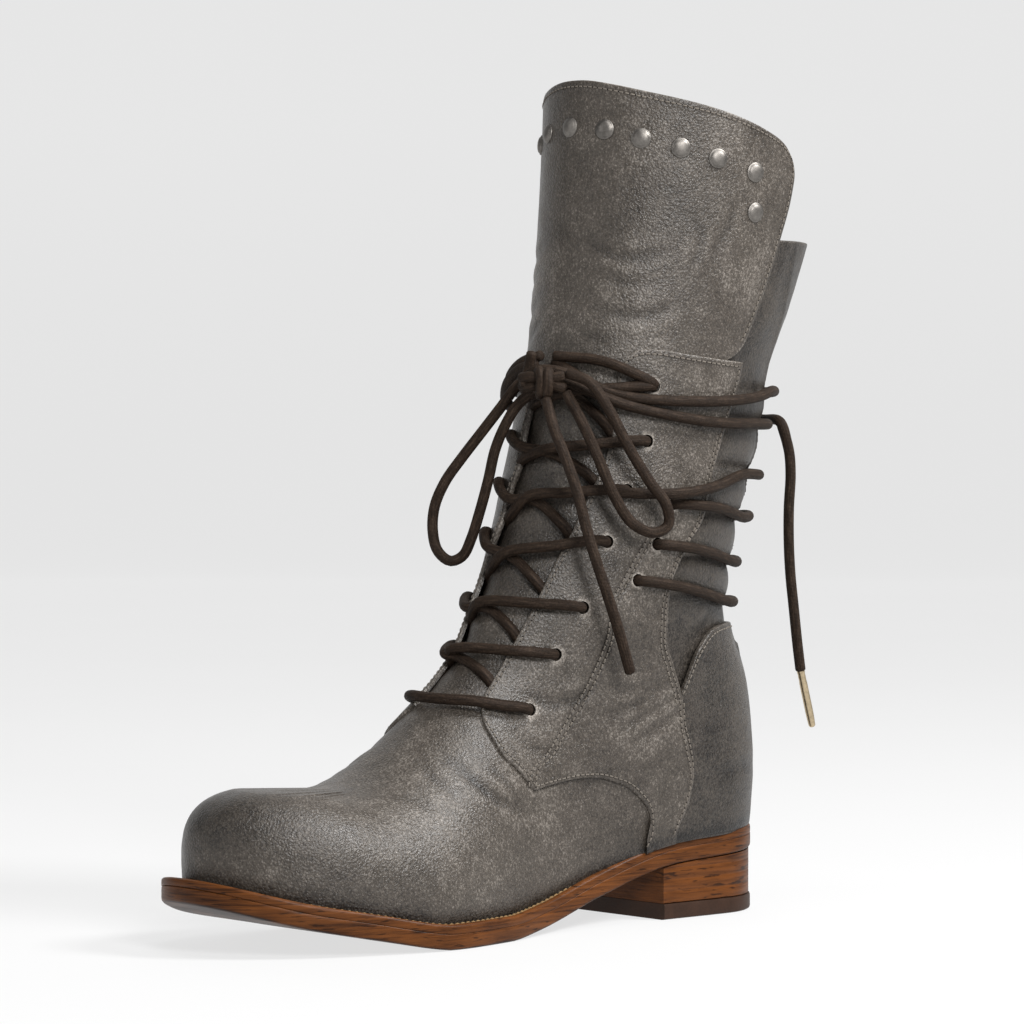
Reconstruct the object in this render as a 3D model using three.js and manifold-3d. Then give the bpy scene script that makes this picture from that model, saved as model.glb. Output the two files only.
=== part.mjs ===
// Left lace-up boot on a stacked heel, with a front flap, front lacing and rear lacing.
// Millimetres. +X points to the toe, +Y to the wearer's left (the outer side), +Z up.
// The origin is on the floor under the middle of the heel.
import * as THREE from 'three';
import { mergeVertices } from 'three/addons/utils/BufferGeometryUtils.js';
import Module from 'manifold-3d';

const wasm = await Module();
wasm.setup();

// Driving sizes
const SOLE_LENGTH = 282;
const BALL_WIDTH = 99;
const HEEL_SETBACK = 38;
const HEEL_LENGTH = 67;
const HEEL_HEIGHT = 26;
const TOP_LIFT = 6.5;
const TOE_SPRING = 20;
const OUTSOLE_THICKNESS = 6;
const WELT_THICKNESS = 3.5;
const WELT_WIDTH = 5;
const WELT_TOE_EXTRA = 3;
const WALL = 2;
const OVERLAY = 1.4;
const GAP = 0.3;
const FEATHER_GAP = 1.05;
const TONGUE_PLAY = 1.1;
const GUSSET_PLAY = 2.4;
const INSTEP_HEIGHT = 104;
const SHAFT_HEIGHT = 241;
const LEG_DEPTH = 125;
const LEG_WIDTH = 102;
const FLAP_THICKNESS = 2;
const GUSSET_THICKNESS = 1.4;
const LACE_DIAMETER = 4.4;
const EYELET_DIAMETER = 5.6;
const STUD_DIAMETER = 8.2;
const STUD_HEIGHT = 2.2;
const TIP_DIAMETER = 3.4;

// Outline of the sole: share of its length from the heel, centre line and half width as
// shares of the ball width, underside as shares of the heel height and of the toe spring
const SOLE_ROWS = [
  { along: 0.00, centre: 0.000, half: 0.300, heel: 1.000, spring: 0.00 },
  { along: 0.11, centre: 0.000, half: 0.315, heel: 0.930, spring: 0.00 },
  { along: 0.23, centre: 0.010, half: 0.305, heel: 0.830, spring: 0.00 },
  { along: 0.36, centre: 0.045, half: 0.275, heel: 0.470, spring: 0.00 },
  { along: 0.48, centre: 0.045, half: 0.325, heel: 0.110, spring: 0.00 },
  { along: 0.58, centre: 0.032, half: 0.420, heel: -0.02, spring: 0.00 },
  { along: 0.69, centre: 0.002, half: 0.498, heel: -0.01, spring: 0.00 },
  { along: 0.80, centre: -0.035, half: 0.480, heel: 0.00, spring: 0.28 },
  { along: 0.90, centre: -0.065, half: 0.420, heel: 0.00, spring: 0.57 },
  { along: 1.00, centre: -0.085, half: 0.350, heel: 0.00, spring: 1.00 },
];
// Foot form: ridge above the feather line as a share of the instep height, roundness of
// the cross section, and how far the ridge leans to the inner side (share of ball width)
const FOOT_ROWS = [
  { along: 0.00, ridge: 0.385, power: 2.2, lean: 0.00 },
  { along: 0.30, ridge: 0.960, power: 2.0, lean: 0.00 },
  { along: 0.45, ridge: 1.000, power: 2.0, lean: -0.03 },
  { along: 0.55, ridge: 0.850, power: 2.0, lean: -0.04 },
  { along: 0.65, ridge: 0.625, power: 2.1, lean: -0.04 },
  { along: 0.75, ridge: 0.465, power: 2.3, lean: -0.03 },
  { along: 0.85, ridge: 0.430, power: 2.5, lean: -0.01 },
  { along: 0.93, ridge: 0.400, power: 2.5, lean: 0.00 },
  { along: 1.00, ridge: 0.360, power: 2.5, lean: 0.00 },
];
// Leg form: height above the heel seat as a share of the shaft height, back and front as
// shares of the leg depth from the back of the heel, half width as a share of leg width
const LEG_ROWS = [
  { up: -0.066, back: 0.084, front: 0.864, half: 0.245, middle: 0.45, power: 2.10 },
  { up: 0.000, back: 0.052, front: 0.896, half: 0.270, middle: 0.45, power: 2.10 },
  { up: 0.100, back: 0.020, front: 0.944, half: 0.304, middle: 0.45, power: 2.10 },
  { up: 0.224, back: 0.036, front: 1.008, half: 0.324, middle: 0.47, power: 2.05 },
  { up: 0.349, back: 0.096, front: 1.040, half: 0.353, middle: 0.50, power: 2.00 },
  { up: 0.473, back: 0.072, front: 0.976, half: 0.382, middle: 0.50, power: 2.00 },
  { up: 0.581, back: 0.016, front: 0.920, half: 0.402, middle: 0.50, power: 2.00 },
  { up: 0.680, back: -0.040, front: 0.872, half: 0.412, middle: 0.50, power: 2.00 },
  { up: 0.830, back: -0.120, front: 0.808, half: 0.451, middle: 0.50, power: 2.00 },
  { up: 1.000, back: -0.240, front: 0.760, half: 0.500, middle: 0.50, power: 2.00 },
  { up: 1.282, back: -0.400, front: 0.720, half: 0.549, middle: 0.50, power: 2.00 },
];
// Rings from the feather line (0) to the collar (1) and the top of the flap: height at the
// back, place of the front as a share of the sole length, height there, and how much the
// ring has left the feather line
const RING_ROWS = [
  { ring: 0.00, back: 0.000, front: 0.975, rise: -0.025, flat: 0.00 },
  { ring: 0.06, back: 0.025, front: 0.970, rise: 0.017, flat: 0.50 },
  { ring: 0.12, back: 0.050, front: 0.933, rise: 0.075, flat: 0.85 },
  { ring: 0.20, back: 0.083, front: 0.826, rise: 0.108, flat: 1.00 },
  { ring: 0.30, back: 0.133, front: 0.684, rise: 0.166, flat: 1.00 },
  { ring: 0.40, back: 0.191, front: 0.578, rise: 0.257, flat: 1.00 },
  { ring: 0.50, back: 0.266, front: 0.500, rise: 0.361, flat: 1.00 },
  { ring: 0.62, back: 0.390, front: 0.454, rise: 0.473, flat: 1.00 },
  { ring: 0.75, back: 0.577, front: 0.408, rise: 0.618, flat: 1.00 },
  { ring: 0.88, back: 0.805, front: 0.365, rise: 0.813, flat: 1.00 },
  { ring: 1.00, back: 1.000, front: 0.337, rise: 1.000, flat: 1.00 },
  { ring: 1.28, back: 1.282, front: 0.319, rise: 1.282, flat: 1.00 },
];
// Quarters: ring, front edge and rear edge in degrees round the boot from the front,
// on the outer side and on the inner side
const QUARTER_ROWS = [
  { ring: 0.040, outer: 119.0, inner: 119.0, rear: 126.0 },
  { ring: 0.100, outer: 117.0, inner: 117.0, rear: 126.0 },
  { ring: 0.150, outer: 112.5, inner: 112.5, rear: 125.0 },
  { ring: 0.185, outer: 104.0, inner: 104.0, rear: 124.0 },
  { ring: 0.200, outer: 80.0, inner: 80.0, rear: 123.0 },
  { ring: 0.240, outer: 68.0, inner: 66.0, rear: 120.0 },
  { ring: 0.280, outer: 56.0, inner: 50.0, rear: 116.5 },
  { ring: 0.320, outer: 45.0, inner: 33.0, rear: 113.5 },
  { ring: 0.367, outer: 32.0, inner: 15.0, rear: 109.0 },
  { ring: 0.410, outer: 28.0, inner: 15.0, rear: 105.5 },
  { ring: 0.480, outer: 27.0, inner: 17.0, rear: 96.0 },
  { ring: 0.550, outer: 30.0, inner: 17.0, rear: 91.0 },
  { ring: 0.600, outer: 33.0, inner: 16.0, rear: 90.0 },
  { ring: 0.650, outer: 37.0, inner: 12.0, rear: 92.5 },
  { ring: 0.700, outer: 40.0, inner: 7.0, rear: 96.0 },
  { ring: 0.750, outer: 43.0, inner: 4.0, rear: 98.0 },
  { ring: 0.800, outer: 45.0, inner: 3.0, rear: 99.0 },
  { ring: 0.860, outer: 44.0, inner: 4.0, rear: 100.5 },
  { ring: 0.876, outer: 56.0, inner: 16.0, rear: 101.0 },
];
// Lace holes beside the front gap and beside the rear gap, as ring and degrees
const FRONT_HOLES = [
  { ring: 0.372, outer: 50, inner: -33 },
  { ring: 0.463, outer: 47, inner: -34 },
  { ring: 0.543, outer: 51, inner: -35 },
  { ring: 0.653, outer: 55, inner: -30 },
  { ring: 0.726, outer: 58, inner: -24 },
  { ring: 0.785, outer: 62, inner: -21 },
  { ring: 0.842, outer: 60, inner: -20 },
];
const REAR_HOLES = [
  { ring: 0.603, degrees: 73 },
  { ring: 0.660, degrees: 78 },
  { ring: 0.716, degrees: 81 },
  { ring: 0.772, degrees: 82 },
  { ring: 0.828, degrees: 84 },
];
// Rear gap between the quarters, over the counter: degrees and ring of its lower edge
const GAP_ROWS = [
  { degrees: 105, ring: 0.425 },
  { degrees: 109, ring: 0.500 },
  { degrees: 121, ring: 0.550 },
  { degrees: 150, ring: 0.572 },
  { degrees: 180, ring: 0.578 },
];
// Front flap: ring, edges in degrees, and 1 where it has come out over the quarters
const FLAP_ROWS = [
  { ring: 0.320, outer: 34, inner: -24, out: 0 },
  { ring: 0.367, outer: 45, inner: -30, out: 0 },
  { ring: 0.410, outer: 43, inner: -31, out: 0 },
  { ring: 0.480, outer: 43, inner: -31, out: 0 },
  { ring: 0.550, outer: 46, inner: -32, out: 0 },
  { ring: 0.600, outer: 49, inner: -32, out: 0 },
  { ring: 0.650, outer: 52, inner: -30, out: 0 },
  { ring: 0.700, outer: 56, inner: -30, out: 0 },
  { ring: 0.750, outer: 60, inner: -32, out: 0 },
  { ring: 0.800, outer: 65, inner: -40, out: 0 },
  { ring: 0.860, outer: 80, inner: -80, out: 0 },
  { ring: 0.890, outer: 99, inner: -99, out: 0 },
  { ring: 0.925, outer: 100, inner: -100, out: 1 },
  { ring: 1.000, outer: 101, inner: -101, out: 1 },
  { ring: 1.070, outer: 101, inner: -101, out: 1 },
  { ring: 1.110, outer: 99, inner: -99, out: 1 },
  { ring: 1.143, outer: 93, inner: -93, out: 1 },
  { ring: 1.171, outer: 85, inner: -85, out: 1 },
  { ring: 1.194, outer: 75, inner: -75, out: 1 },
  { ring: 1.213, outer: 64, inner: -64, out: 1 },
  { ring: 1.230, outer: 50, inner: -50, out: 1 },
  { ring: 1.246, outer: 34, inner: -34, out: 1 },
  { ring: 1.260, outer: 12, inner: -12, out: 1 },
];
const STUD_ROWS = [
  { ring: 1.175, degrees: 0 },
  { ring: 1.168, degrees: 24 },
  { ring: 1.150, degrees: 41 },
  { ring: 1.132, degrees: 56 },
  { ring: 1.114, degrees: 69 },
  { ring: 1.092, degrees: 83 },
  { ring: 1.032, degrees: 86 },
];
// Numbers of facets
const RING_SIDES = 28;
const SOLE_STATIONS = 22;
const HEEL_STATIONS = 12;
const LACE_SIDES = 5;
const CORD_SIDES = 8;
const HOLE_SIDES = 6;

const RAD = Math.PI / 180;
const BACK = -HEEL_SETBACK;
const OUTSOLE_TOP = OUTSOLE_THICKNESS;
const WELT_BOTTOM = OUTSOLE_TOP + GAP;
const WELT_TOP = WELT_BOTTOM + WELT_THICKNESS;
const SEAT = HEEL_HEIGHT + WELT_TOP;
const LACE_LIFT = OVERLAY + GAP + LACE_DIAMETER / 2 + 0.5;

const clamp = (value, low, high) => Math.min(high, Math.max(low, value));
const mix = (a, b, share) => a + (b - a) * share;

// A smooth curve through one column of a table, over its first column
function curve(rows, across, column) {
  const xs = rows.map((row) => row[across]);
  const ys = rows.map((row) => row[column]);
  const last = xs.length - 1;
  const secant = ys.slice(1).map((y, i) => (y - ys[i]) / (xs[i + 1] - xs[i]));
  const slope = ys.map((y, i) => {
    if (i === 0) return secant[0];
    if (i === last) return secant[last - 1];
    const before = xs[i] - xs[i - 1];
    const after = xs[i + 1] - xs[i];
    return (secant[i - 1] * after + secant[i] * before) / (before + after);
  });
  return (x) => {
    const at = clamp(x, xs[0], xs[last]);
    let i = 0;
    while (i < last - 1 && at > xs[i + 1]) i += 1;
    const step = xs[i + 1] - xs[i];
    const t = (at - xs[i]) / step;
    const fade = 3 * t * t - 2 * t * t * t;
    return ys[i] * (1 - fade) + ys[i + 1] * fade
      + step * (slope[i] * t * (1 - t) * (1 - t) - slope[i + 1] * t * t * (1 - t));
  };
}

// A straight-line reading of one column
function line(rows, across, column) {
  return (x) => {
    let i = 0;
    while (i < rows.length - 2 && x > rows[i + 1][across]) i += 1;
    const share = clamp((x - rows[i][across]) / (rows[i + 1][across] - rows[i][across]), 0, 1);
    return mix(rows[i][column], rows[i + 1][column], share);
  };
}

// The sole in plan and from the side
const HEEL_ROUND = 30;
const TOE_ROUND = 46;
const TOE_POWER = 2.3;
const soleCurves = Object.fromEntries(['centre', 'half', 'heel', 'spring']
  .map((column) => [column, curve(SOLE_ROWS, 'along', column)]));
const along = (x) => clamp((x - BACK) / SOLE_LENGTH, 0, 1);
const centreLine = (x) => soleCurves.centre(along(x)) * BALL_WIDTH;
const roundEnd = (share, power) => (1 - (1 - clamp(share, 0, 1)) ** power) ** (1 / power);

function soleHalf(x, inset) {
  const toeInset = inset + WELT_TOE_EXTRA * clamp(inset / WELT_WIDTH, 0, 1);
  const fromBack = x - BACK - inset;
  const fromTip = BACK + SOLE_LENGTH - toeInset - x;
  return (soleCurves.half(along(x)) * BALL_WIDTH - inset)
    * roundEnd(fromBack / HEEL_ROUND, 2) * roundEnd(fromTip / TOE_ROUND, TOE_POWER);
}

function soleBottom(x) {
  const share = along(x);
  return Math.max(0, soleCurves.heel(share) * HEEL_HEIGHT)
    + Math.max(0, soleCurves.spring(share) * TOE_SPRING);
}

const feather = (x) => soleBottom(x) + WELT_TOP;

// How deep a point lies inside the last: a foot form and a leg form, smoothly joined
const footCurves = Object.fromEntries(['ridge', 'power', 'lean']
  .map((column) => [column, curve(FOOT_ROWS, 'along', column)]));
const legCurves = Object.fromEntries(['back', 'front', 'half', 'middle', 'power']
  .map((column) => [column, curve(LEG_ROWS, 'up', column)]));
const JOIN = 14;
const JOIN_SHRINK = 1.7;
const TUCK_HEIGHT = 10;
const TUCK_RADIUS = 30;
const TUCK_SHARE = 0.945;
const TOE_CAP_ROUND = 40;
const TOE_CAP_POWER = 2.4;
const END_SLOPE = 3;
const SEAM_INSET = WELT_WIDTH + JOIN_SHRINK + WALL;

function footDepth(x, y, z) {
  const share = along(x);
  const low = feather(x);
  const ridge = footCurves.ridge(share) * INSTEP_HEIGHT;
  const power = footCurves.power(share);
  const backEnd = BACK + WELT_WIDTH;
  const tipEnd = BACK + SOLE_LENGTH - WELT_WIDTH - WELT_TOE_EXTRA;
  const within = clamp(x, backEnd + 0.01, tipEnd - 0.01);
  const half = Math.max(0.5, soleHalf(within, WELT_WIDTH) / TUCK_SHARE);
  const cap = Math.max(0.02, roundEnd((tipEnd + 1.5 - x) / TOE_CAP_ROUND, TOE_CAP_POWER));
  const above = z - low - TUCK_HEIGHT;
  const up = above > 0 ? above / ((ridge - TUCK_HEIGHT) * cap) : -above / TUCK_RADIUS;
  const lean = footCurves.lean(share) * BALL_WIDTH * clamp((z - low) / ridge, 0, 1);
  const side = Math.abs(y - centreLine(x) - lean) / half;
  const rho = (side ** power + up ** power) ** (1 / power);
  const beyond = Math.max(0, backEnd - x, x - tipEnd);
  return (1 - rho) * Math.min(half, ridge) - END_SLOPE * beyond;
}

function legSection(z) {
  const up = (z - SEAT) / SHAFT_HEIGHT;
  const back = BACK + legCurves.back(up) * LEG_DEPTH;
  const front = BACK + legCurves.front(up) * LEG_DEPTH;
  const half = legCurves.half(up) * LEG_WIDTH;
  return { back, front, half, middle: mix(back, front, legCurves.middle(up)), power: legCurves.power(up) };
}

function legDepth(x, y, z) {
  const { back, front, half, middle, power } = legSection(z);
  const reach = x < middle ? middle - back : front - middle;
  const rho = ((Math.abs(x - middle) / reach) ** power + (Math.abs(y) / half) ** power) ** (1 / power);
  return (1 - rho) * Math.min(reach, half);
}

function lastDepth(x, y, z) {
  const foot = footDepth(x, y, z);
  const leg = legDepth(x, y, z);
  return (foot + leg + Math.hypot(foot - leg, JOIN)) / 2 - JOIN_SHRINK;
}

// A point of the last's surface: degrees round the boot from the front, towards the
// outer side, and the ring
const ringCurves = Object.fromEntries(['back', 'front', 'rise', 'flat']
  .map((column) => [column, curve(RING_ROWS, 'ring', column)]));
const SEARCH_REACH = 110;
const SEARCH_STEPS = 44;
const HALVINGS = 22;
const END_RADIUS = 40;
const seen = new Map();

function surfacePoint(degrees, ring) {
  const key = `${degrees.toFixed(4)} ${ring.toFixed(5)}`;
  if (seen.has(key)) return seen.get(key).clone();
  const angle = degrees * RAD;
  const backZ = SEAT + ringCurves.back(ring) * SHAFT_HEIGHT;
  const frontX = BACK + ringCurves.front(ring) * SOLE_LENGTH;
  const frontZ = SEAT + ringCurves.rise(ring) * SHAFT_HEIGHT;
  const flat = ringCurves.flat(ring);
  const legBack = legSection(backZ).back;
  const halfLength = (frontX - legBack) / 2;
  const focus = halfLength - Math.min(END_RADIUS, halfLength * 0.92);
  const startX = (frontX + legBack) / 2 + focus * Math.cos(angle);
  const startY = centreLine(startX) * clamp(1 - ring * 2.2, 0, 1);
  const slope = (frontZ - backZ) / (frontX - BACK - 4);
  const point = (reach) => {
    const x = startX + reach * Math.cos(angle);
    const plane = backZ + slope * (x - BACK - 4);
    return new THREE.Vector3(x, startY + reach * Math.sin(angle), mix(feather(x), plane, flat));
  };
  const inside = (reach) => {
    const p = point(reach);
    return lastDepth(p.x, p.y, p.z) > 0;
  };
  let near = 0;
  let far = SEARCH_REACH;
  for (let i = 1; i <= SEARCH_STEPS; i += 1) {
    far = SEARCH_REACH * i / SEARCH_STEPS;
    if (!inside(far)) break;
    near = far;
  }
  for (let i = 0; i < HALVINGS; i += 1) {
    const half = (near + far) / 2;
    if (inside(half)) near = half;
    else far = half;
  }
  const found = point((near + far) / 2);
  seen.set(key, found);
  return found.clone();
}

function outward(point, level) {
  const step = 0.5;
  const slope = (axis) => {
    const ahead = point.clone();
    const behind = point.clone();
    ahead[axis] += step;
    behind[axis] -= step;
    return lastDepth(behind.x, behind.y, behind.z) - lastDepth(ahead.x, ahead.y, ahead.z);
  };
  return new THREE.Vector3(slope('x'), slope('y'), level ? 0 : slope('z')).normalize();
}

// A point set off from the surface; level keeps its height
function offPoint(degrees, ring, offset, level = false) {
  const point = surfacePoint(degrees, ring);
  return point.addScaledVector(outward(point, level), offset);
}

// Meshes and solids
function geometryOf(points, faces) {
  const geometry = new THREE.BufferGeometry();
  const numbers = points.flatMap((p) => [p.x, p.y, p.z]);
  geometry.setAttribute('position', new THREE.Float32BufferAttribute(numbers, 3));
  geometry.setIndex(faces.flat());
  return geometry;
}

function solidOf(geometry) {
  const bare = geometry.clone();
  bare.deleteAttribute('normal');
  bare.deleteAttribute('uv');
  const merged = mergeVertices(bare, 1e-4);
  return new wasm.Manifold(new wasm.Mesh({
    numProp: 3,
    vertProperties: new Float32Array(merged.attributes.position.array),
    triVerts: new Uint32Array(merged.index.array),
  }));
}

function geometryFrom(solid) {
  const mesh = solid.getMesh();
  const geometry = new THREE.BufferGeometry();
  geometry.setAttribute('position', new THREE.BufferAttribute(mesh.vertProperties, 3));
  geometry.setIndex(new THREE.BufferAttribute(mesh.triVerts, 1));
  return geometry;
}

const joined = (solids) => solids.reduce((all, solid) => all.add(solid));
const largest = (solid) => solid.decompose().sort((a, b) => b.volume() - a.volume())[0];

// A closed sheet between an outer and an inner grid of points, rows by columns; wrap
// closes each row into a ring
function sheet(rows, columns, outerAt, innerAt, wrap = false) {
  const points = [];
  const faces = [];
  const size = rows * columns;
  for (const at of [outerAt, innerAt]) {
    for (let i = 0; i < rows; i += 1) {
      for (let j = 0; j < columns; j += 1) points.push(at(i, j));
    }
  }
  const quad = (a, b, c, d) => faces.push([a, b, c], [a, c, d]);
  const spans = wrap ? columns : columns - 1;
  for (let j = 0; j < spans; j += 1) {
    const k = (j + 1) % columns;
    for (let i = 0; i < rows - 1; i += 1) {
      const [a, b, c, d] = [i * columns + j, i * columns + k, (i + 1) * columns + k, (i + 1) * columns + j];
      quad(a, b, c, d);
      quad(size + d, size + c, size + b, size + a);
    }
    quad(size + j, size + k, k, j);
    const top = (rows - 1) * columns;
    quad(top + j, top + k, size + top + k, size + top + j);
  }
  if (!wrap) {
    for (let i = 0; i < rows - 1; i += 1) {
      const [low, high] = [i * columns, (i + 1) * columns];
      quad(low, high, size + high, size + low);
      const end = columns - 1;
      quad(high + end, low + end, size + low + end, size + high + end);
    }
  }
  return geometryOf(points, faces);
}

// A patch of the boot's surface: at(row, column) gives degrees and ring, offsets may
// depend on the row
function patch(rows, columns, at, outer, inner, level = () => false) {
  const grid = (offset) => (i, j) => {
    const [degrees, ring] = at(i, j);
    return offPoint(degrees, ring, offset(i, j), level(i));
  };
  return sheet(rows, columns, grid(outer), grid(inner));
}

// A slab in the sole's outline between two heights, from one x to another
function slab({ to = BACK + SOLE_LENGTH, inset = 0, low, high, bevel = 0, stations = SOLE_STATIONS }) {
  const start = BACK + inset;
  const tip = BACK + SOLE_LENGTH - inset - WELT_TOE_EXTRA * clamp(inset / WELT_WIDTH, 0, 1);
  const end = Math.min(to, tip);
  const pointed = 0.15;
  const section = [];
  for (let i = 0; i <= stations; i += 1) {
    const share = 0.5 - 0.5 * Math.cos(Math.PI * i / stations);
    const x = mix(start + pointed, end === tip ? end - pointed : end, share);
    const half = Math.max(0.6, soleHalf(x, inset));
    const middle = centreLine(x);
    const cut = Math.min(bevel, half * 0.4);
    const corners = cut > 0 ? [
      [half - cut, low(x)], [half, low(x) + cut], [half, high(x) - cut], [half - cut, high(x)],
      [cut - half, high(x)], [-half, high(x) - cut], [-half, low(x) + cut], [cut - half, low(x)],
    ] : [[half, low(x)], [half, high(x)], [-half, high(x)], [-half, low(x)]];
    section.push(corners.map(([y, z]) => new THREE.Vector3(x, middle + y, z)));
  }
  const sides = section[0].length;
  const points = section.flat();
  const faces = [];
  for (let i = 0; i < stations; i += 1) {
    for (let j = 0; j < sides; j += 1) {
      const k = (j + 1) % sides;
      const [a, b, c, d] = [i * sides + j, i * sides + k, (i + 1) * sides + k, (i + 1) * sides + j];
      faces.push([a, b, c], [a, c, d]);
    }
  }
  for (let j = 1; j < sides - 1; j += 1) {
    const top = stations * sides;
    faces.push([0, j + 1, j], [top, top + j, top + j + 1]);
  }
  return geometryOf(points, faces);
}

// Lace tube along points
function tube(points, diameter, steps, sides) {
  const round = new THREE.Shape();
  for (let i = 0; i < sides; i += 1) {
    const angle = 2 * Math.PI * i / sides;
    const [x, y] = [Math.cos(angle) * diameter / 2, Math.sin(angle) * diameter / 2];
    if (i === 0) round.moveTo(x, y);
    else round.lineTo(x, y);
  }
  round.closePath();
  const path = new THREE.CatmullRomCurve3(points, false, 'centripetal');
  return new THREE.ExtrudeGeometry(round, { steps, extrudePath: path, bevelEnabled: false });
}

function meshOf(name, geometry, color, roughness, metalness = 0) {
  const material = new THREE.MeshStandardMaterial({ color, roughness, metalness });
  const mesh = new THREE.Mesh(geometry, material);
  mesh.name = name;
  return mesh;
}

const LEATHER = 0x6f6a64;
const LEATHER_DARK = 0x5d5853;
const LACE = 0x33241c;
const WOOD = 0x7a4326;
const WOOD_DARK = 0x5e3320;
const RUBBER = 0x35241b;
const PEWTER = 0x6e6a66;
const BRASS = 0x9a7b45;
const INSOLE_TAN = 0x8a7a66;

// Sole
function soleParts() {
  const heelFront = BACK + HEEL_LENGTH;
  const flat = (z) => () => z;
  const outer = solidOf(slab({ low: (x) => soleBottom(x) + WELT_BOTTOM, high: feather, bevel: 0.9 }));
  const opening = solidOf(slab({
    inset: SEAM_INSET,
    low: (x) => soleBottom(x) + OUTSOLE_TOP - 2,
    high: (x) => feather(x) + 2,
  }));
  return [
    meshOf('top_lift', slab({
      to: heelFront, low: flat(0), high: flat(TOP_LIFT), bevel: 0.6, stations: HEEL_STATIONS,
    }), RUBBER, 0.8),
    meshOf('heel_stack', slab({
      to: heelFront, inset: 0.6, low: flat(TOP_LIFT + GAP), high: (x) => soleBottom(x) - GAP,
      stations: HEEL_STATIONS,
    }), WOOD, 0.45),
    meshOf('outsole', slab({
      low: soleBottom, high: (x) => soleBottom(x) + OUTSOLE_TOP, bevel: 1,
    }), WOOD_DARK, 0.45),
    meshOf('welt', geometryFrom(outer.subtract(opening)), WOOD, 0.4),
    meshOf('insole', slab({
      inset: SEAM_INSET + GAP,
      low: (x) => soleBottom(x) + WELT_BOTTOM + GAP,
      high: feather,
    }), INSOLE_TAN, 0.8),
  ];
}

// Upper
const outerFront = line(QUARTER_ROWS, 'ring', 'outer');
const innerFront = line(QUARTER_ROWS, 'ring', 'inner');
const quarterRear = line(QUARTER_ROWS, 'ring', 'rear');
const UPPER_TOP = QUARTER_ROWS[QUARTER_ROWS.length - 1].ring;
const UPPER_RINGS = [0, ...QUARTER_ROWS.map((row) => row.ring)];

function wallSolid(outer, inner) {
  const count = UPPER_RINGS.length;
  const at = (offset) => (i, j) => {
    const point = offPoint(360 * j / RING_SIDES, UPPER_RINGS[i], offset, i === 0 || i === count - 1);
    if (i === 0) point.z += FEATHER_GAP;
    return point;
  };
  return solidOf(sheet(count, RING_SIDES, at(outer), at(inner), true));
}

function quarterSolid(side) {
  const columns = 6;
  const front = side > 0 ? 'outer' : 'inner';
  const at = (i, j) => {
    const row = QUARTER_ROWS[i];
    const share = (side > 0 ? j : columns - 1 - j) / (columns - 1);
    return [side * mix(row[front], row.rear, share), row.ring];
  };
  const rows = QUARTER_ROWS.length;
  return solidOf(patch(rows, columns, at, () => OVERLAY, () => -WALL / 2, (i) => i === rows - 1));
}

function throatSolid() {
  const reach = 9;
  const rows = QUARTER_ROWS.filter((row) => row.ring > 0.36);
  const edges = [...rows, { ...QUARTER_ROWS[QUARTER_ROWS.length - 1], ring: UPPER_TOP + 0.03 }];
  const columns = 4;
  const at = (i, j) => [mix(-edges[i].inner, edges[i].outer, j / (columns - 1)), edges[i].ring];
  return solidOf(patch(edges.length, columns, at, () => reach, () => -reach));
}

function rearGapSolid() {
  const reach = 9;
  const rows = 9;
  const columns = 15;
  const low = curve(GAP_ROWS, 'degrees', 'ring');
  const at = (i, j) => {
    const across = 2 * j / (columns - 1) - 1;
    const spread = Math.sign(across) * Math.abs(across) ** 0.8;
    const bottomDegrees = 180 - spread * (180 - GAP_ROWS[0].degrees);
    const fold = Math.min(bottomDegrees, 360 - bottomDegrees);
    const ring = mix(low(fold), UPPER_TOP + 0.03, i / (rows - 1));
    const edge = 180 - quarterRear(clamp(ring, 0, UPPER_TOP));
    return [180 - spread * edge, ring];
  };
  const flip = (i, j) => at(i, columns - 1 - j);
  return solidOf(patch(rows, columns, flip, () => reach, () => -reach));
}

function holeSolid(degrees, ring) {
  const depth = 16;
  const centre = offPoint(degrees, ring, 0);
  const geometry = new THREE.CylinderGeometry(EYELET_DIAMETER / 2, EYELET_DIAMETER / 2, depth, HOLE_SIDES);
  const turn = new THREE.Quaternion().setFromUnitVectors(new THREE.Vector3(0, 1, 0), outward(centre, false));
  geometry.applyQuaternion(turn);
  geometry.translate(centre.x, centre.y, centre.z);
  return solidOf(geometry);
}

function holePlaces() {
  return [
    ...FRONT_HOLES.flatMap((hole) => [[hole.outer, hole.ring], [hole.inner, hole.ring]]),
    ...REAR_HOLES.flatMap((hole) => [[hole.degrees, hole.ring], [-hole.degrees, hole.ring]]),
  ];
}

function upperPart() {
  let solid = joined([wallSolid(0, -WALL), quarterSolid(1), quarterSolid(-1)])
    .subtract(throatSolid()).subtract(rearGapSolid());
  for (const [degrees, ring] of holePlaces()) solid = solid.subtract(holeSolid(degrees, ring));
  return meshOf('upper', geometryFrom(largest(solid)), LEATHER, 0.6);
}

// The counter lies on the quarters' lower rear, outside the wall
function counterPart() {
  const rows = 6;
  const columns = 13;
  const low = 0.035;
  const drop = 0.012;
  const top = curve(GAP_ROWS, 'degrees', 'ring');
  const inset = 1.2;
  const at = (i, j) => {
    const across = 1 - 2 * j / (columns - 1);
    const spread = Math.sign(across) * Math.abs(across) ** 0.8;
    const fold = 180 - Math.abs(spread) * (180 - GAP_ROWS[0].degrees);
    const ring = mix(low, top(fold) - drop, i / (rows - 1));
    const edge = 180 - quarterRear(ring) - inset;
    return [180 - spread * edge, ring];
  };
  const thick = solidOf(patch(rows, columns, at, () => GAP + OVERLAY, () => -WALL / 2, (i) => i === 0));
  return meshOf('counter', geometryFrom(largest(thick.subtract(wallSolid(GAP, -WALL)))), LEATHER_DARK, 0.6);
}

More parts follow.
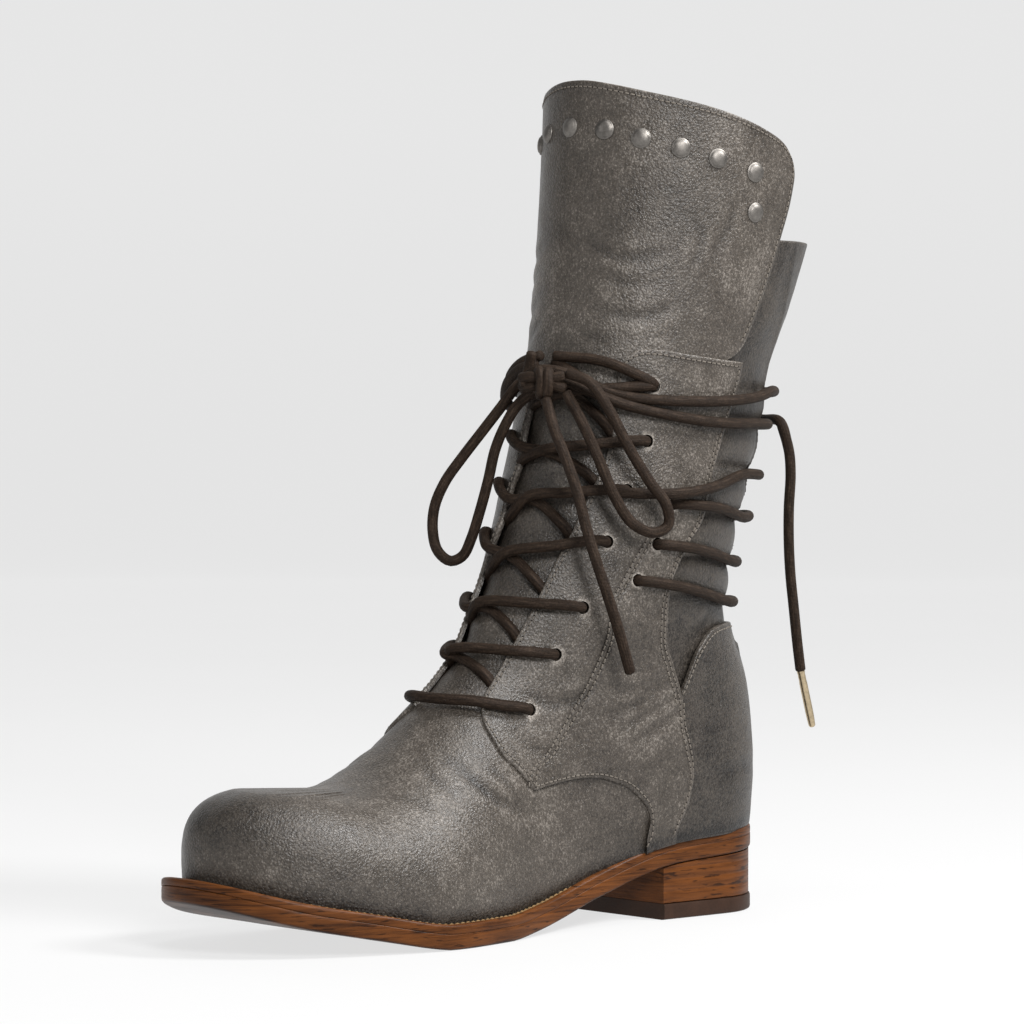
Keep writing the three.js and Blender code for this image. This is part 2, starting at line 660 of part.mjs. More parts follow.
// The flap is the tongue under the front lacing and the tall panel above it
function flapPart() {
  const columns = 8;
  const rows = FLAP_ROWS.length;
  const at = (i, j) => {
    const { ring, inner, outer } = FLAP_ROWS[i];
    return [mix(inner, outer, j / (columns - 1)), ring];
  };
  const under = -(WALL + TONGUE_PLAY);
  const outer = (i) => mix(under, 0, FLAP_ROWS[i].out);
  const inner = (i) => outer(i) - FLAP_THICKNESS;
  return meshOf('front_flap', patch(rows, columns, at, outer, inner), LEATHER, 0.6);
}

function gussetPart() {
  const columns = 11;
  const tuck = 7;
  const free = 102.5;
  const hidden = QUARTER_ROWS.filter((row) => row.ring > 0.4 && row.ring <= 0.86);
  const shown = [UPPER_TOP + 0.014, 0.93, 0.965, 0.997];
  const rows = [
    ...hidden.map((row) => [row.ring, row.rear - tuck, 0]),
    ...shown.map((ring, i) => [ring, free, i ? 1 : 0]),
  ];
  const at = (i, j) => [mix(rows[i][1], 360 - rows[i][1], j / (columns - 1)), rows[i][0]];
  const outer = (i) => mix(-(WALL + GUSSET_PLAY), 0, rows[i][2]);
  const last = rows.length - 1;
  const shell = patch(rows.length, columns, at, outer, (i) => outer(i) - GUSSET_THICKNESS, (i) => i === last);
  return meshOf('rear_gusset', shell, LEATHER_DARK, 0.65);
}

// The studs are seated on the flap's own facets, clear of the highest one under each stud
function studParts(flap) {
  const start = 20;
  const rimPoints = 12;
  const profile = [];
  const turns = 2;
  profile.push(new THREE.Vector2(0, 0));
  for (let i = 0; i <= turns; i += 1) {
    const angle = (Math.PI / 2) * i / turns;
    const radius = i === turns ? 0 : STUD_DIAMETER / 2 * Math.cos(angle);
    profile.push(new THREE.Vector2(radius, STUD_HEIGHT * Math.sin(angle)));
  }
  const places = STUD_ROWS.flatMap((row) => (row.degrees === 0
    ? [[0, row.ring]] : [[row.degrees, row.ring], [-row.degrees, row.ring]]));
  return places.map(([degrees, ring], index) => {
    const geometry = geometryFrom(solidOf(new THREE.LatheGeometry(profile, 9)));
    const mesh = meshOf(`stud_${index + 1}`, geometry, PEWTER, 0.4, 0.9);
    const normal = outward(surfacePoint(degrees, ring), false);
    const turn = new THREE.Quaternion().setFromUnitVectors(new THREE.Vector3(0, 1, 0), normal);
    const above = offPoint(degrees, ring, start);
    const drops = Array.from({ length: 2 * rimPoints }, (_, i) => {
      const angle = 2 * Math.PI * i / rimPoints;
      const radius = STUD_DIAMETER / (i < rimPoints ? 2 : 4);
      const spot = new THREE.Vector3(Math.cos(angle), 0, Math.sin(angle)).multiplyScalar(radius);
      const ray = new THREE.Raycaster(spot.applyQuaternion(turn).add(above), normal.clone().negate());
      return ray.intersectObject(flap)[0].distance;
    });
    mesh.position.copy(above.addScaledVector(normal, GAP - Math.min(...drops)));
    mesh.quaternion.copy(turn);
    return mesh;
  });
}

// Laces: the crossings over the front gap and over the rear gap, and the turns round the
// ankle
const FRONT_LIFT = LACE_LIFT + 0.7;
const REAR_LIFT = LACE_LIFT + 0.6;
const WRAP_LIFT = LACE_LIFT + 0.6;
const WRAP_RINGS = [0.812, 0.838];
const WRAP_START = 33;
const WRAP_END = 350;
const WRAP_CLEAR = { from: 78, to: 310, over: 16 };

function strand(from, to, lift, steps) {
  const route = [];
  for (let i = 0; i <= steps; i += 1) {
    const share = i / steps;
    const degrees = mix(from[0], to[0], share);
    const height = typeof lift === 'function' ? lift(degrees) : lift;
    route.push(offPoint(degrees, mix(from[1], to[1], share), height));
  }
  return solidOf(tube(route, LACE_DIAMETER, steps, LACE_SIDES));
}

function frontLacing() {
  const first = FRONT_HOLES[0];
  const strands = [strand([first.inner, first.ring], [first.outer, first.ring], FRONT_LIFT, 5)];
  for (let i = 0; i < FRONT_HOLES.length - 1; i += 1) {
    const [low, high] = [FRONT_HOLES[i], FRONT_HOLES[i + 1]];
    strands.push(strand([low.inner, low.ring], [high.outer, high.ring], FRONT_LIFT, 4));
    strands.push(strand([low.outer, low.ring], [high.inner, high.ring], FRONT_LIFT, 4));
  }
  return meshOf('front_lacing', geometryFrom(joined(strands)), LACE, 0.8);
}

// The turns step over the front lacing before they reach the knot
function wrapLift(degrees) {
  const past = Math.max(WRAP_CLEAR.from - degrees, degrees - WRAP_CLEAR.to, 0);
  return WRAP_LIFT + (LACE_DIAMETER + 1) * clamp(past / WRAP_CLEAR.over, 0, 1);
}

function rearLacing() {
  const first = REAR_HOLES[0];
  const bar = strand([first.degrees, first.ring], [360 - first.degrees, first.ring], REAR_LIFT, 8);
  const strands = [bar];
  for (let i = 0; i < REAR_HOLES.length - 1; i += 1) {
    const [low, high] = [REAR_HOLES[i], REAR_HOLES[i + 1]];
    strands.push(strand([low.degrees, low.ring], [360 - high.degrees, high.ring], REAR_LIFT, 8));
    strands.push(strand([high.degrees, high.ring], [360 - low.degrees, low.ring], REAR_LIFT, 8));
  }
  for (const ring of WRAP_RINGS) {
    strands.push(strand([WRAP_START, ring], [WRAP_END, ring], wrapLift, 20));
  }
  return meshOf('rear_lacing', geometryFrom(joined(strands)), LACE, 0.8);
}

// The bow: chosen routes of its free cords, in millimetres
const LEFT_LOOP = [
  [78.5, 7, 221], [80, -1, 217], [83, -8, 208], [88, -14, 198], [93, -20, 188], [98, -25, 178],
  [101, -28, 168], [102, -28, 158], [101, -26, 150], [97, -23, 146], [93, -20, 148], [91, -17, 155],
  [89, -14, 166], [87, -11, 179], [86, -8, 191], [84, -4, 201], [81, 0, 209], [78.5, 7, 214.5],
];
const RIGHT_LOOP = [
  [76.5, 25.5, 221.5], [72, 33, 218], [66, 38, 207], [59, 42, 192], [51, 46, 178], [45, 49, 169],
  [44, 49, 161], [50, 47, 158], [59, 44, 162], [66, 41, 173], [71, 37, 188], [75, 32, 202],
  [77.5, 25.5, 213.5],
];
const FRONT_END = [
  [83.5, 20, 211], [84, 25, 200], [83, 31, 188], [81, 36, 174], [79, 39, 160], [76, 42, 146], [72, 44, 133],
  [67, 45, 119], [61, 45, 103],
];
const REAR_END = [
  [-44.6, 24, 201.2], [-48, 25, 190], [-49, 25, 180], [-49, 24, 166], [-50, 23, 152], [-52, 22, 138],
  [-54, 22, 124], [-57, 21, 110], [-60, 20, 98],
];
const REAR_TIP = [[-60.1, 20, 97.6], [-68, 19, 74]];
const KNOT = { x: 81, y: 16, z: 218, across: 9.5, deep: 6.5, high: 7.5 };

const pointsOf = (rows) => rows.map(([x, y, z]) => new THREE.Vector3(x, y, z));

function cord(name, rows) {
  const steps = rows.length;
  return meshOf(name, tube(pointsOf(rows), LACE_DIAMETER, steps, CORD_SIDES), LACE, 0.8);
}

function knotPart() {
  const geometry = new THREE.SphereGeometry(1, 10, 7);
  geometry.scale(KNOT.deep, KNOT.across, KNOT.high);
  const mesh = meshOf('bow_knot', geometryFrom(solidOf(geometry)), LACE, 0.8);
  mesh.position.set(KNOT.x, KNOT.y, KNOT.z);
  mesh.rotation.z = 20 * RAD;
  return mesh;
}

function bowParts() {
  const tip = tube(pointsOf(REAR_TIP), TIP_DIAMETER, 2, CORD_SIDES);
  return [
    knotPart(),
    cord('bow_loop_inner', LEFT_LOOP),
    cord('bow_loop_outer', RIGHT_LOOP),
    cord('lace_end_front', FRONT_END),
    cord('lace_end_rear', REAR_END),
    meshOf('lace_tip', tip, BRASS, 0.35, 0.8),
  ];
}

const group = new THREE.Group();
group.add(...soleParts());
group.add(upperPart());
group.add(counterPart());
const flap = flapPart();
group.add(flap);
group.add(gussetPart());
group.add(...studParts(flap));
group.add(frontLacing());
group.add(rearLacing());
group.add(...bowParts());

export default group;
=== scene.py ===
import math

import bpy
import numpy as np
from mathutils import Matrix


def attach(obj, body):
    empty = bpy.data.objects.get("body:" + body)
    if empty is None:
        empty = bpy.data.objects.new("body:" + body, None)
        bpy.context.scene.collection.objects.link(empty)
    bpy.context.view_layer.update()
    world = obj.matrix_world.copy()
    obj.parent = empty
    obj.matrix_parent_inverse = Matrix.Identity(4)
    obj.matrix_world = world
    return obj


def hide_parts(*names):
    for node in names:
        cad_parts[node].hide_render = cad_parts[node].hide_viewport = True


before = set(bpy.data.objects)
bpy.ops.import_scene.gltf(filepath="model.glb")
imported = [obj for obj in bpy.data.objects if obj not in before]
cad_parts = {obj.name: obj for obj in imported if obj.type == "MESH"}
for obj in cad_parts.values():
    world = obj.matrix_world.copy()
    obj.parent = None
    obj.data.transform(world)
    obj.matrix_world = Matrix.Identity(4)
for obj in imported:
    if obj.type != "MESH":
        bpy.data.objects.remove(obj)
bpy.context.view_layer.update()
MM = 0.001

# Sizes of the real boot, as in the CAD model
SOLE_LENGTH = 282.0
BALL_WIDTH = 99.0
HEEL_SETBACK = 38.0
HEEL_LENGTH = 67.0
HEEL_HEIGHT = 26.0
TOP_LIFT = 6.5
TOE_SPRING = 20.0
OUTSOLE_THICKNESS = 6.0
WELT_THICKNESS = 3.5
WELT_WIDTH = 5.0
WELT_TOE_EXTRA = 3.0
WALL = 2.0
OVERLAY = 1.4
GAP = 0.3
INSTEP_HEIGHT = 104.0
SHAFT_HEIGHT = 241.0
LEG_DEPTH = 125.0
LEG_WIDTH = 102.0
LACE = 4.4
EYELET = 5.6
STUD = 8.2
TIP = 3.4

BACK = -HEEL_SETBACK
HEEL_FRONT = BACK + HEEL_LENGTH
WELT_BOTTOM = OUTSOLE_THICKNESS + GAP
WELT_TOP = WELT_BOTTOM + WELT_THICKNESS
SEAT = HEEL_HEIGHT + WELT_TOP


def columns(names, rows):
    """A table with named columns, as one array for each."""
    return dict(zip(names.split(), np.array(rows, float).T))


# Shares of the named sizes, as in the CAD model
SOLE_ROWS = columns("along centre half heel spring", [
    (0.00, 0.000, 0.300, 1.000, 0.00),
    (0.11, 0.000, 0.315, 0.930, 0.00),
    (0.23, 0.010, 0.305, 0.830, 0.00),
    (0.36, 0.045, 0.275, 0.470, 0.00),
    (0.48, 0.045, 0.325, 0.110, 0.00),
    (0.58, 0.032, 0.420, -0.02, 0.00),
    (0.69, 0.002, 0.498, -0.01, 0.00),
    (0.80, -0.035, 0.480, 0.00, 0.28),
    (0.90, -0.065, 0.420, 0.00, 0.57),
    (1.00, -0.085, 0.350, 0.00, 1.00),
])
FOOT_ROWS = columns("along ridge power lean", [
    (0.00, 0.385, 2.2, 0.00),
    (0.30, 0.960, 2.0, 0.00),
    (0.45, 1.000, 2.0, -0.03),
    (0.55, 0.850, 2.0, -0.04),
    (0.65, 0.625, 2.1, -0.04),
    (0.75, 0.465, 2.3, -0.03),
    (0.85, 0.430, 2.5, -0.01),
    (0.93, 0.400, 2.5, 0.00),
    (1.00, 0.360, 2.5, 0.00),
])
LEG_ROWS = columns("up back front half middle power", [
    (-0.066, 0.084, 0.864, 0.245, 0.45, 2.10),
    (0.000, 0.052, 0.896, 0.270, 0.45, 2.10),
    (0.100, 0.020, 0.944, 0.304, 0.45, 2.10),
    (0.224, 0.036, 1.008, 0.324, 0.47, 2.05),
    (0.349, 0.096, 1.040, 0.353, 0.50, 2.00),
    (0.473, 0.072, 0.976, 0.382, 0.50, 2.00),
    (0.581, 0.016, 0.920, 0.402, 0.50, 2.00),
    (0.680, -0.040, 0.872, 0.412, 0.50, 2.00),
    (0.830, -0.120, 0.808, 0.451, 0.50, 2.00),
    (1.000, -0.240, 0.760, 0.500, 0.50, 2.00),
    (1.282, -0.400, 0.720, 0.549, 0.50, 2.00),
])
RING_ROWS = columns("ring back front rise flat", [
    (0.00, 0.000, 0.975, -0.025, 0.00),
    (0.06, 0.025, 0.970, 0.017, 0.50),
    (0.12, 0.050, 0.933, 0.075, 0.85),
    (0.20, 0.083, 0.826, 0.108, 1.00),
    (0.30, 0.133, 0.684, 0.166, 1.00),
    (0.40, 0.191, 0.578, 0.257, 1.00),
    (0.50, 0.266, 0.500, 0.361, 1.00),
    (0.62, 0.390, 0.454, 0.473, 1.00),
    (0.75, 0.577, 0.408, 0.618, 1.00),
    (0.88, 0.805, 0.365, 0.813, 1.00),
    (1.00, 1.000, 0.337, 1.000, 1.00),
    (1.28, 1.282, 0.319, 1.282, 1.00),
])
HEEL_ROUND = 30.0
TOE_ROUND = 46.0
TOE_POWER = 2.3
JOIN = 14.0
JOIN_SHRINK = 1.7
TUCK_HEIGHT = 10.0
TUCK_RADIUS = 30.0
TUCK_SHARE = 0.945
TOE_CAP_ROUND = 40.0
TOE_CAP_POWER = 2.4
END_SLOPE = 3.0
SEAM_INSET = WELT_WIDTH + JOIN_SHRINK + WALL


# The last: the same functions as in the CAD model
def curve(table, across, column):
    """A smooth line through one column of a table."""
    xs, ys = table[across], table[column]
    steps = np.diff(xs)
    secant = np.diff(ys) / steps
    slope = np.empty(len(xs))
    slope[0], slope[-1] = secant[0], secant[-1]
    slope[1:-1] = (secant[:-1] * steps[1:] + secant[1:] * steps[:-1]) / (steps[:-1] + steps[1:])

    def read(x):
        x = np.clip(x, xs[0], xs[-1])
        i = np.clip(np.searchsorted(xs, x, side="left") - 1, 0, len(xs) - 2)
        t = (x - xs[i]) / steps[i]
        fade = 3 * t * t - 2 * t ** 3
        bend = slope[i] * t * (1 - t) ** 2 - slope[i + 1] * t * t * (1 - t)
        return ys[i] * (1 - fade) + ys[i + 1] * fade + steps[i] * bend

    return read


sole_centre, sole_half_share, sole_heel, sole_spring = (
    curve(SOLE_ROWS, "along", column) for column in ("centre", "half", "heel", "spring"))
foot_ridge, foot_power, foot_lean = (
    curve(FOOT_ROWS, "along", column) for column in ("ridge", "power", "lean"))
leg_back, leg_front, leg_half, leg_middle, leg_power = (
    curve(LEG_ROWS, "up", column) for column in ("back", "front", "half", "middle", "power"))
ring_back, ring_front, ring_rise, ring_flat = (
    curve(RING_ROWS, "ring", column) for column in ("back", "front", "rise", "flat"))


def mix(a, b, share):
    return a + (b - a) * share


def along(x):
    return np.clip((x - BACK) / SOLE_LENGTH, 0, 1)


def centre_line(x):
    return sole_centre(along(x)) * BALL_WIDTH


def round_end(share, power):
    return (1 - (1 - np.clip(share, 0, 1)) ** power) ** (1 / power)


def sole_half(x, inset):
    toe_inset = inset + WELT_TOE_EXTRA * np.clip(inset / WELT_WIDTH, 0, 1)
    from_back = x - BACK - inset
    from_tip = BACK + SOLE_LENGTH - toe_inset - x
    ends = round_end(from_back / HEEL_ROUND, 2) * round_end(from_tip / TOE_ROUND, TOE_POWER)
    return (sole_half_share(along(x)) * BALL_WIDTH - inset) * ends


def sole_bottom(x):
    share = along(x)
    heel = np.maximum(0, sole_heel(share) * HEEL_HEIGHT)
    return heel + np.maximum(0, sole_spring(share) * TOE_SPRING)


def feather(x):
    return sole_bottom(x) + WELT_TOP


def foot_depth(x, y, z):
    share = along(x)
    low = feather(x)
    ridge = foot_ridge(share) * INSTEP_HEIGHT
    power = foot_power(share)
    back_end = BACK + WELT_WIDTH
    tip_end = BACK + SOLE_LENGTH - WELT_WIDTH - WELT_TOE_EXTRA
    within = np.clip(x, back_end + 0.01, tip_end - 0.01)
    half = np.maximum(0.5, sole_half(within, WELT_WIDTH) / TUCK_SHARE)
    cap = np.maximum(0.02, round_end((tip_end + 1.5 - x) / TOE_CAP_ROUND, TOE_CAP_POWER))
    above = z - low - TUCK_HEIGHT
    up = np.where(above > 0, above / ((ridge - TUCK_HEIGHT) * cap), -above / TUCK_RADIUS)
    lean = foot_lean(share) * BALL_WIDTH * np.clip((z - low) / ridge, 0, 1)
    side = np.abs(y - centre_line(x) - lean) / half
    rho = (side ** power + up ** power) ** (1 / power)
    beyond = np.maximum(0, np.maximum(back_end - x, x - tip_end))
    return (1 - rho) * np.minimum(half, ridge) - END_SLOPE * beyond


def leg_section(z):
    up = (z - SEAT) / SHAFT_HEIGHT
    back = BACK + leg_back(up) * LEG_DEPTH
    front = BACK + leg_front(up) * LEG_DEPTH
    return back, front, leg_half(up) * LEG_WIDTH, mix(back, front, leg_middle(up)), leg_power(up)


def leg_depth(x, y, z):
    back, front, half, middle, power = leg_section(z)
    reach = np.where(x < middle, middle - back, front - middle)
    rho = ((np.abs(x - middle) / reach) ** power + (np.abs(y) / half) ** power) ** (1 / power)
    return (1 - rho) * np.minimum(reach, half)


def last_depth(x, y, z):
    foot = foot_depth(x, y, z)
    leg = leg_depth(x, y, z)
    return (foot + leg + np.hypot(foot - leg, JOIN)) / 2 - JOIN_SHRINK


SEARCH_REACH = 110.0
SEARCH_STEPS = 22
HALVINGS = 17
END_RADIUS = 40.0


def surface(degrees, ring):
    """Points of the last's surface, shape (..., 3)."""
    degrees, ring = np.broadcast_arrays(np.asarray(degrees, float), np.asarray(ring, float))
    angle = np.radians(degrees)
    cos, sin = np.cos(angle), np.sin(angle)
    back_z = SEAT + ring_back(ring) * SHAFT_HEIGHT
    front_x = BACK + ring_front(ring) * SOLE_LENGTH
    front_z = SEAT + ring_rise(ring) * SHAFT_HEIGHT
    flat = ring_flat(ring)
    leg_start = leg_section(back_z)[0]
    half_length = (front_x - leg_start) / 2
    focus = half_length - np.minimum(END_RADIUS, half_length * 0.92)
    start_x = (front_x + leg_start) / 2 + focus * cos
    start_y = centre_line(start_x) * np.clip(1 - ring * 2.2, 0, 1)
    slope = (front_z - back_z) / (front_x - BACK - 4)

    def at(reach):
        x = start_x + reach * cos
        plane = back_z + slope * (x - BACK - 4)
        return x, start_y + reach * sin, mix(feather(x), plane, flat)

    near = np.zeros(degrees.shape)
    far = np.full(degrees.shape, SEARCH_REACH)
    going = np.ones(degrees.shape, bool)
    for i in range(1, SEARCH_STEPS + 1):
        reach = SEARCH_REACH * i / SEARCH_STEPS
        inside = last_depth(*at(np.full(degrees.shape, reach))) > 0
        far = np.where(going & ~inside, reach, far)
        near = np.where(going & inside, reach, near)
        going &= inside
    for _ in range(HALVINGS):
        half = (near + far) / 2
        inside = last_depth(*at(half)) > 0
        near = np.where(inside, half, near)
        far = np.where(inside, far, half)
    return np.stack(at((near + far) / 2), -1)


def outward(points):
    """Unit normals of the last at points near its surface."""
    step = 0.5
    x, y, z = points[..., 0], points[..., 1], points[..., 2]
    slopes = [last_depth(x - step, y, z) - last_depth(x + step, y, z),
              last_depth(x, y - step, z) - last_depth(x, y + step, z),
              last_depth(x, y, z - step) - last_depth(x, y, z + step)]
    return unit(np.stack(slopes, -1))


def unit(vectors):
    return vectors / np.maximum(1e-9, np.linalg.norm(vectors, axis=-1, keepdims=True))


def off_point(degrees, ring, height):
    base = surface(degrees, ring)
    return base + outward(base) * np.asarray(height, float)[..., None]


# Meshes
def grid_faces(rows, cols, wrap=False):
    i, j = np.meshgrid(np.arange(rows - 1), np.arange(cols if wrap else cols - 1), indexing="ij")
    k = (j + 1) % cols
    quads = np.stack([i * cols + j, i * cols + k, (i + 1) * cols + k, (i + 1) * cols + j], -1)
    return quads.reshape(-1, 4)


def make_piece(name, points, faces, material, replaces=(), values=None, route=None, sharp=50):
    """A mesh piece on the root body, with named numbers on its points and a route as UVs."""
    mesh = bpy.data.meshes.new(name)
    mesh.from_pydata((np.asarray(points) * MM).tolist(), [], [list(map(int, f)) for f in faces])
    mesh.validate()
    mesh.polygons.foreach_set("use_smooth", np.ones(len(mesh.polygons), bool))
    mesh.set_sharp_from_angle(angle=math.radians(sharp))
    for key, numbers in (values or {}).items():
        mesh.attributes.new(key, "FLOAT", "POINT").data.foreach_set("value", numbers.astype(np.float32))
    if route is not None:
        corners = np.empty(len(mesh.loops), np.int32)
        mesh.loops.foreach_get("vertex_index", corners)
        layer = mesh.uv_layers.new(name="route")
        layer.data.foreach_set("uv", route[corners].astype(np.float32).ravel())
    mesh.materials.append(material)
    piece = bpy.data.objects.new(name, mesh)
    bpy.context.collection.objects.link(piece)
    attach(piece, "root")
    if replaces:
        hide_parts(*replaces)
    return piece


def smooth_path(points, step):
    """A centripetal line through the points, in even steps."""
    p = np.asarray(points, float)
    p = np.vstack([2 * p[0] - p[1], p, 2 * p[-1] - p[-2]])
    t = np.concatenate([[0], np.cumsum(np.sqrt(np.linalg.norm(np.diff(p, axis=0), axis=1)))])
    dense = []
    for i in range(1, len(p) - 2):
        u = np.linspace(t[i], t[i + 1], 16, endpoint=False)[:, None]
        a = [((t[i + k] - u) * p[i + k - 1] + (u - t[i + k - 1]) * p[i + k]) / (t[i + k] - t[i + k - 1])
             for k in (0, 1, 2)]
        b = [((t[i + k + 1] - u) * a[k] + (u - t[i + k - 1]) * a[k + 1]) / (t[i + k + 1] - t[i + k - 1])
             for k in (0, 1)]
        dense.append(((t[i + 1] - u) * b[0] + (u - t[i]) * b[1]) / (t[i + 1] - t[i]))
    dense = np.vstack(dense + [p[-2:-1]])
    return even_steps(dense, step)


def lengths_of(path):
    return np.concatenate([[0], np.cumsum(np.linalg.norm(np.diff(path, axis=0), axis=1))])


def even_steps(path, step):
    lengths = lengths_of(path)
    count = max(2, int(round(lengths[-1] / step)) + 1)
    spots = np.linspace(0, lengths[-1], count)
    return np.stack([np.interp(spots, lengths, path[:, k]) for k in range(path.shape[1])], -1)


def tube(path, radius, sides=12, cap=0.5):
    """Points, faces and routes of a closed round tube with domed ends."""
    tangent = unit(np.gradient(path, axis=0))
    ends = np.array([0.25, 0.7, 0.93])
    lift = cap * radius * np.array([1.0, 0.75, 0.35])
    centres = np.vstack([path[0] - tangent[0] * lift[:, None], path,
                         path[-1] + tangent[-1] * lift[::-1, None]])
    tangent = np.vstack([tangent[[0] * 3], tangent, tangent[[-1] * 3]])
    radii = np.concatenate([ends, np.ones(len(path)), ends[::-1]]) * radius
    side = np.cross(tangent[0], (0, 0, 1) if abs(tangent[0][2]) < 0.9 else (0, 1, 0))
    angles = np.linspace(0, 2 * np.pi, sides, endpoint=False)
    rings = []
    for centre, direction, size in zip(centres, tangent, radii):
        side = unit(side - direction * (side @ direction))
        across = np.cross(direction, side)
        rings.append(centre + size * (np.cos(angles)[:, None] * side + np.sin(angles)[:, None] * across))
    points = np.vstack(rings)
    count = len(centres)
    faces = grid_faces(count, sides, wrap=True)[:, ::-1].tolist()
    faces += [list(range(sides)), list(range((count - 1) * sides, count * sides))[::-1]]
    far = lengths_of(centres)
    route = np.stack([np.tile(angles / (2 * np.pi), count), np.repeat(far, sides)], -1)
    return points, faces, route


def joined(parts):
    """Several (points, faces, route) as one."""
    shift = 0
    points, faces, routes = [], [], []
    for part_points, part_faces, route in parts:
        points.append(part_points)
        faces += [[index + shift for index in face] for face in part_faces]
        routes.append(route)
        shift += len(part_points)
    return np.vstack(points), faces, np.vstack(routes)


def add_joined(name, parts, material, replaces=()):
    points, faces, route = joined(parts)
    return make_piece(name, points, faces, material, replaces, route=route)


# Camera: the photo's level view from the front and outer side
VIEW_ANGLE = 45.6
VIEW_DISTANCE = 1801.7
VIEW_FROM = (-45.4, 0.0, 206.6)
LOOK_AT = (84.0, 0.0, 166.0)
LENS = 150.0


def point_at(thing, place, target):
    """Put a camera or lamp at a place, looking at a target, both in metres."""
    look = np.array(target) - place
    pan = math.atan2(look[1], look[0]) - math.pi / 2
    rise = math.atan2(look[2], math.hypot(look[0], look[1]))
    thing.location = place
    thing.rotation_euler = (math.pi / 2 + rise, 0, pan)


def add_camera():
    angle = math.radians(VIEW_ANGLE)
    place = np.array(VIEW_FROM) + VIEW_DISTANCE * np.array([math.cos(angle), math.sin(angle), 0])
    data = bpy.data.cameras.new("camera")
    data.lens = LENS
    data.clip_end = 30
    camera = bpy.data.objects.new("camera", data)
    bpy.context.collection.objects.link(camera)
    point_at(camera, place * MM, np.array(LOOK_AT) * MM)
    bpy.context.scene.camera = camera


# Materials
class Nodes:
    """Short ways to wire a node material."""

    def __init__(self, name):
        self.material = bpy.data.materials.new(name)
        self.material.use_nodes = True
        self.tree = self.material.node_tree
        self.shader = self.tree.nodes["Principled BSDF"]
        self.place = self.add("ShaderNodeTexCoord").outputs["Object"]

    def add(self, kind, inputs=None, **settings):
        node = self.tree.nodes.new(kind)
        for key, value in settings.items():
            setattr(node, key, value)
        for key, value in (inputs or {}).items():
            self.put(node.inputs[key], value)
        return node

    def put(self, socket, value):
        if hasattr(value, "is_linked"):
            self.tree.links.new(value, socket)
        else:
            socket.default_value = value

    def set(self, **values):
        for key, value in values.items():
            self.put(self.shader.inputs[key.replace("_", " ")], value)

    def noise(self, scale, detail=3.0, rough=0.55, place=None, distortion=0.0):
        node = self.add("ShaderNodeTexNoise", {
            "Vector": self.place if place is None else place, "Scale": scale, "Detail": detail,
            "Roughness": rough, "Distortion": distortion})
        return node.outputs["Fac"]

    def cells(self, scale, feature="F1", place=None, smooth=0.0):
        node = self.add("ShaderNodeTexVoronoi", {
            "Vector": self.place if place is None else place, "Scale": scale}, feature=feature)
        if feature == "SMOOTH_F1":
            node.inputs["Smoothness"].default_value = smooth
        return node.outputs["Distance"]

    def math(self, kind, a, b=0.0, clamp=False):
        node = self.add("ShaderNodeMath", operation=kind, use_clamp=clamp)
        self.put(node.inputs[0], a)
        self.put(node.inputs[1], b)
        return node.outputs[0]

    def stretch(self, scale, place=None):
        """The place, scaled along its own axes."""
        node = self.add("ShaderNodeMapping", {"Vector": self.place if place is None else place,
                                              "Scale": scale})
        return node.outputs[0]

    def spread(self, value, low, high, to_low=0.0, to_high=1.0):
        node = self.add("ShaderNodeMapRange", {
            "Value": value, "From Min": low, "From Max": high, "To Min": to_low, "To Max": to_high})
        return node.outputs[0]

    def ramp(self, value, stops):
        node = self.add("ShaderNodeValToRGB", {"Fac": value})
        marks = node.color_ramp.elements
        while len(marks) < len(stops):
            marks.new(0.5)
        for mark, (spot, color) in zip(marks, stops):
            mark.position = spot
            mark.color = (*color, 1)
        return node.outputs["Color"]

    def blend(self, share, a, b, kind="MIX"):
        node = self.add("ShaderNodeMix", data_type="RGBA", blend_type=kind)
        self.put(node.inputs["Factor"], share)
        for socket, value in zip([s for s in node.inputs if s.type == "RGBA"], (a, b)):
            self.put(socket, (*value, 1) if isinstance(value, tuple) else value)
        return [s for s in node.outputs if s.type == "RGBA"][0]

    def number(self, name):
        return self.add("ShaderNodeAttribute", attribute_name=name).outputs["Fac"]

    def route(self):
        return self.add("ShaderNodeUVMap", uv_map="route").outputs["UV"]

    def bump(self, *layers):
        """Layers of (height, depth in metres, strength), from coarse to fine."""
        normal = None
        for height, depth, strength in layers:
            node = self.add("ShaderNodeBump", {"Height": height, "Distance": depth, "Strength": strength})
            if normal is not None:
                self.tree.links.new(normal, node.inputs["Normal"])
            normal = node.outputs["Normal"]
        self.tree.links.new(normal, self.shader.inputs["Normal"])


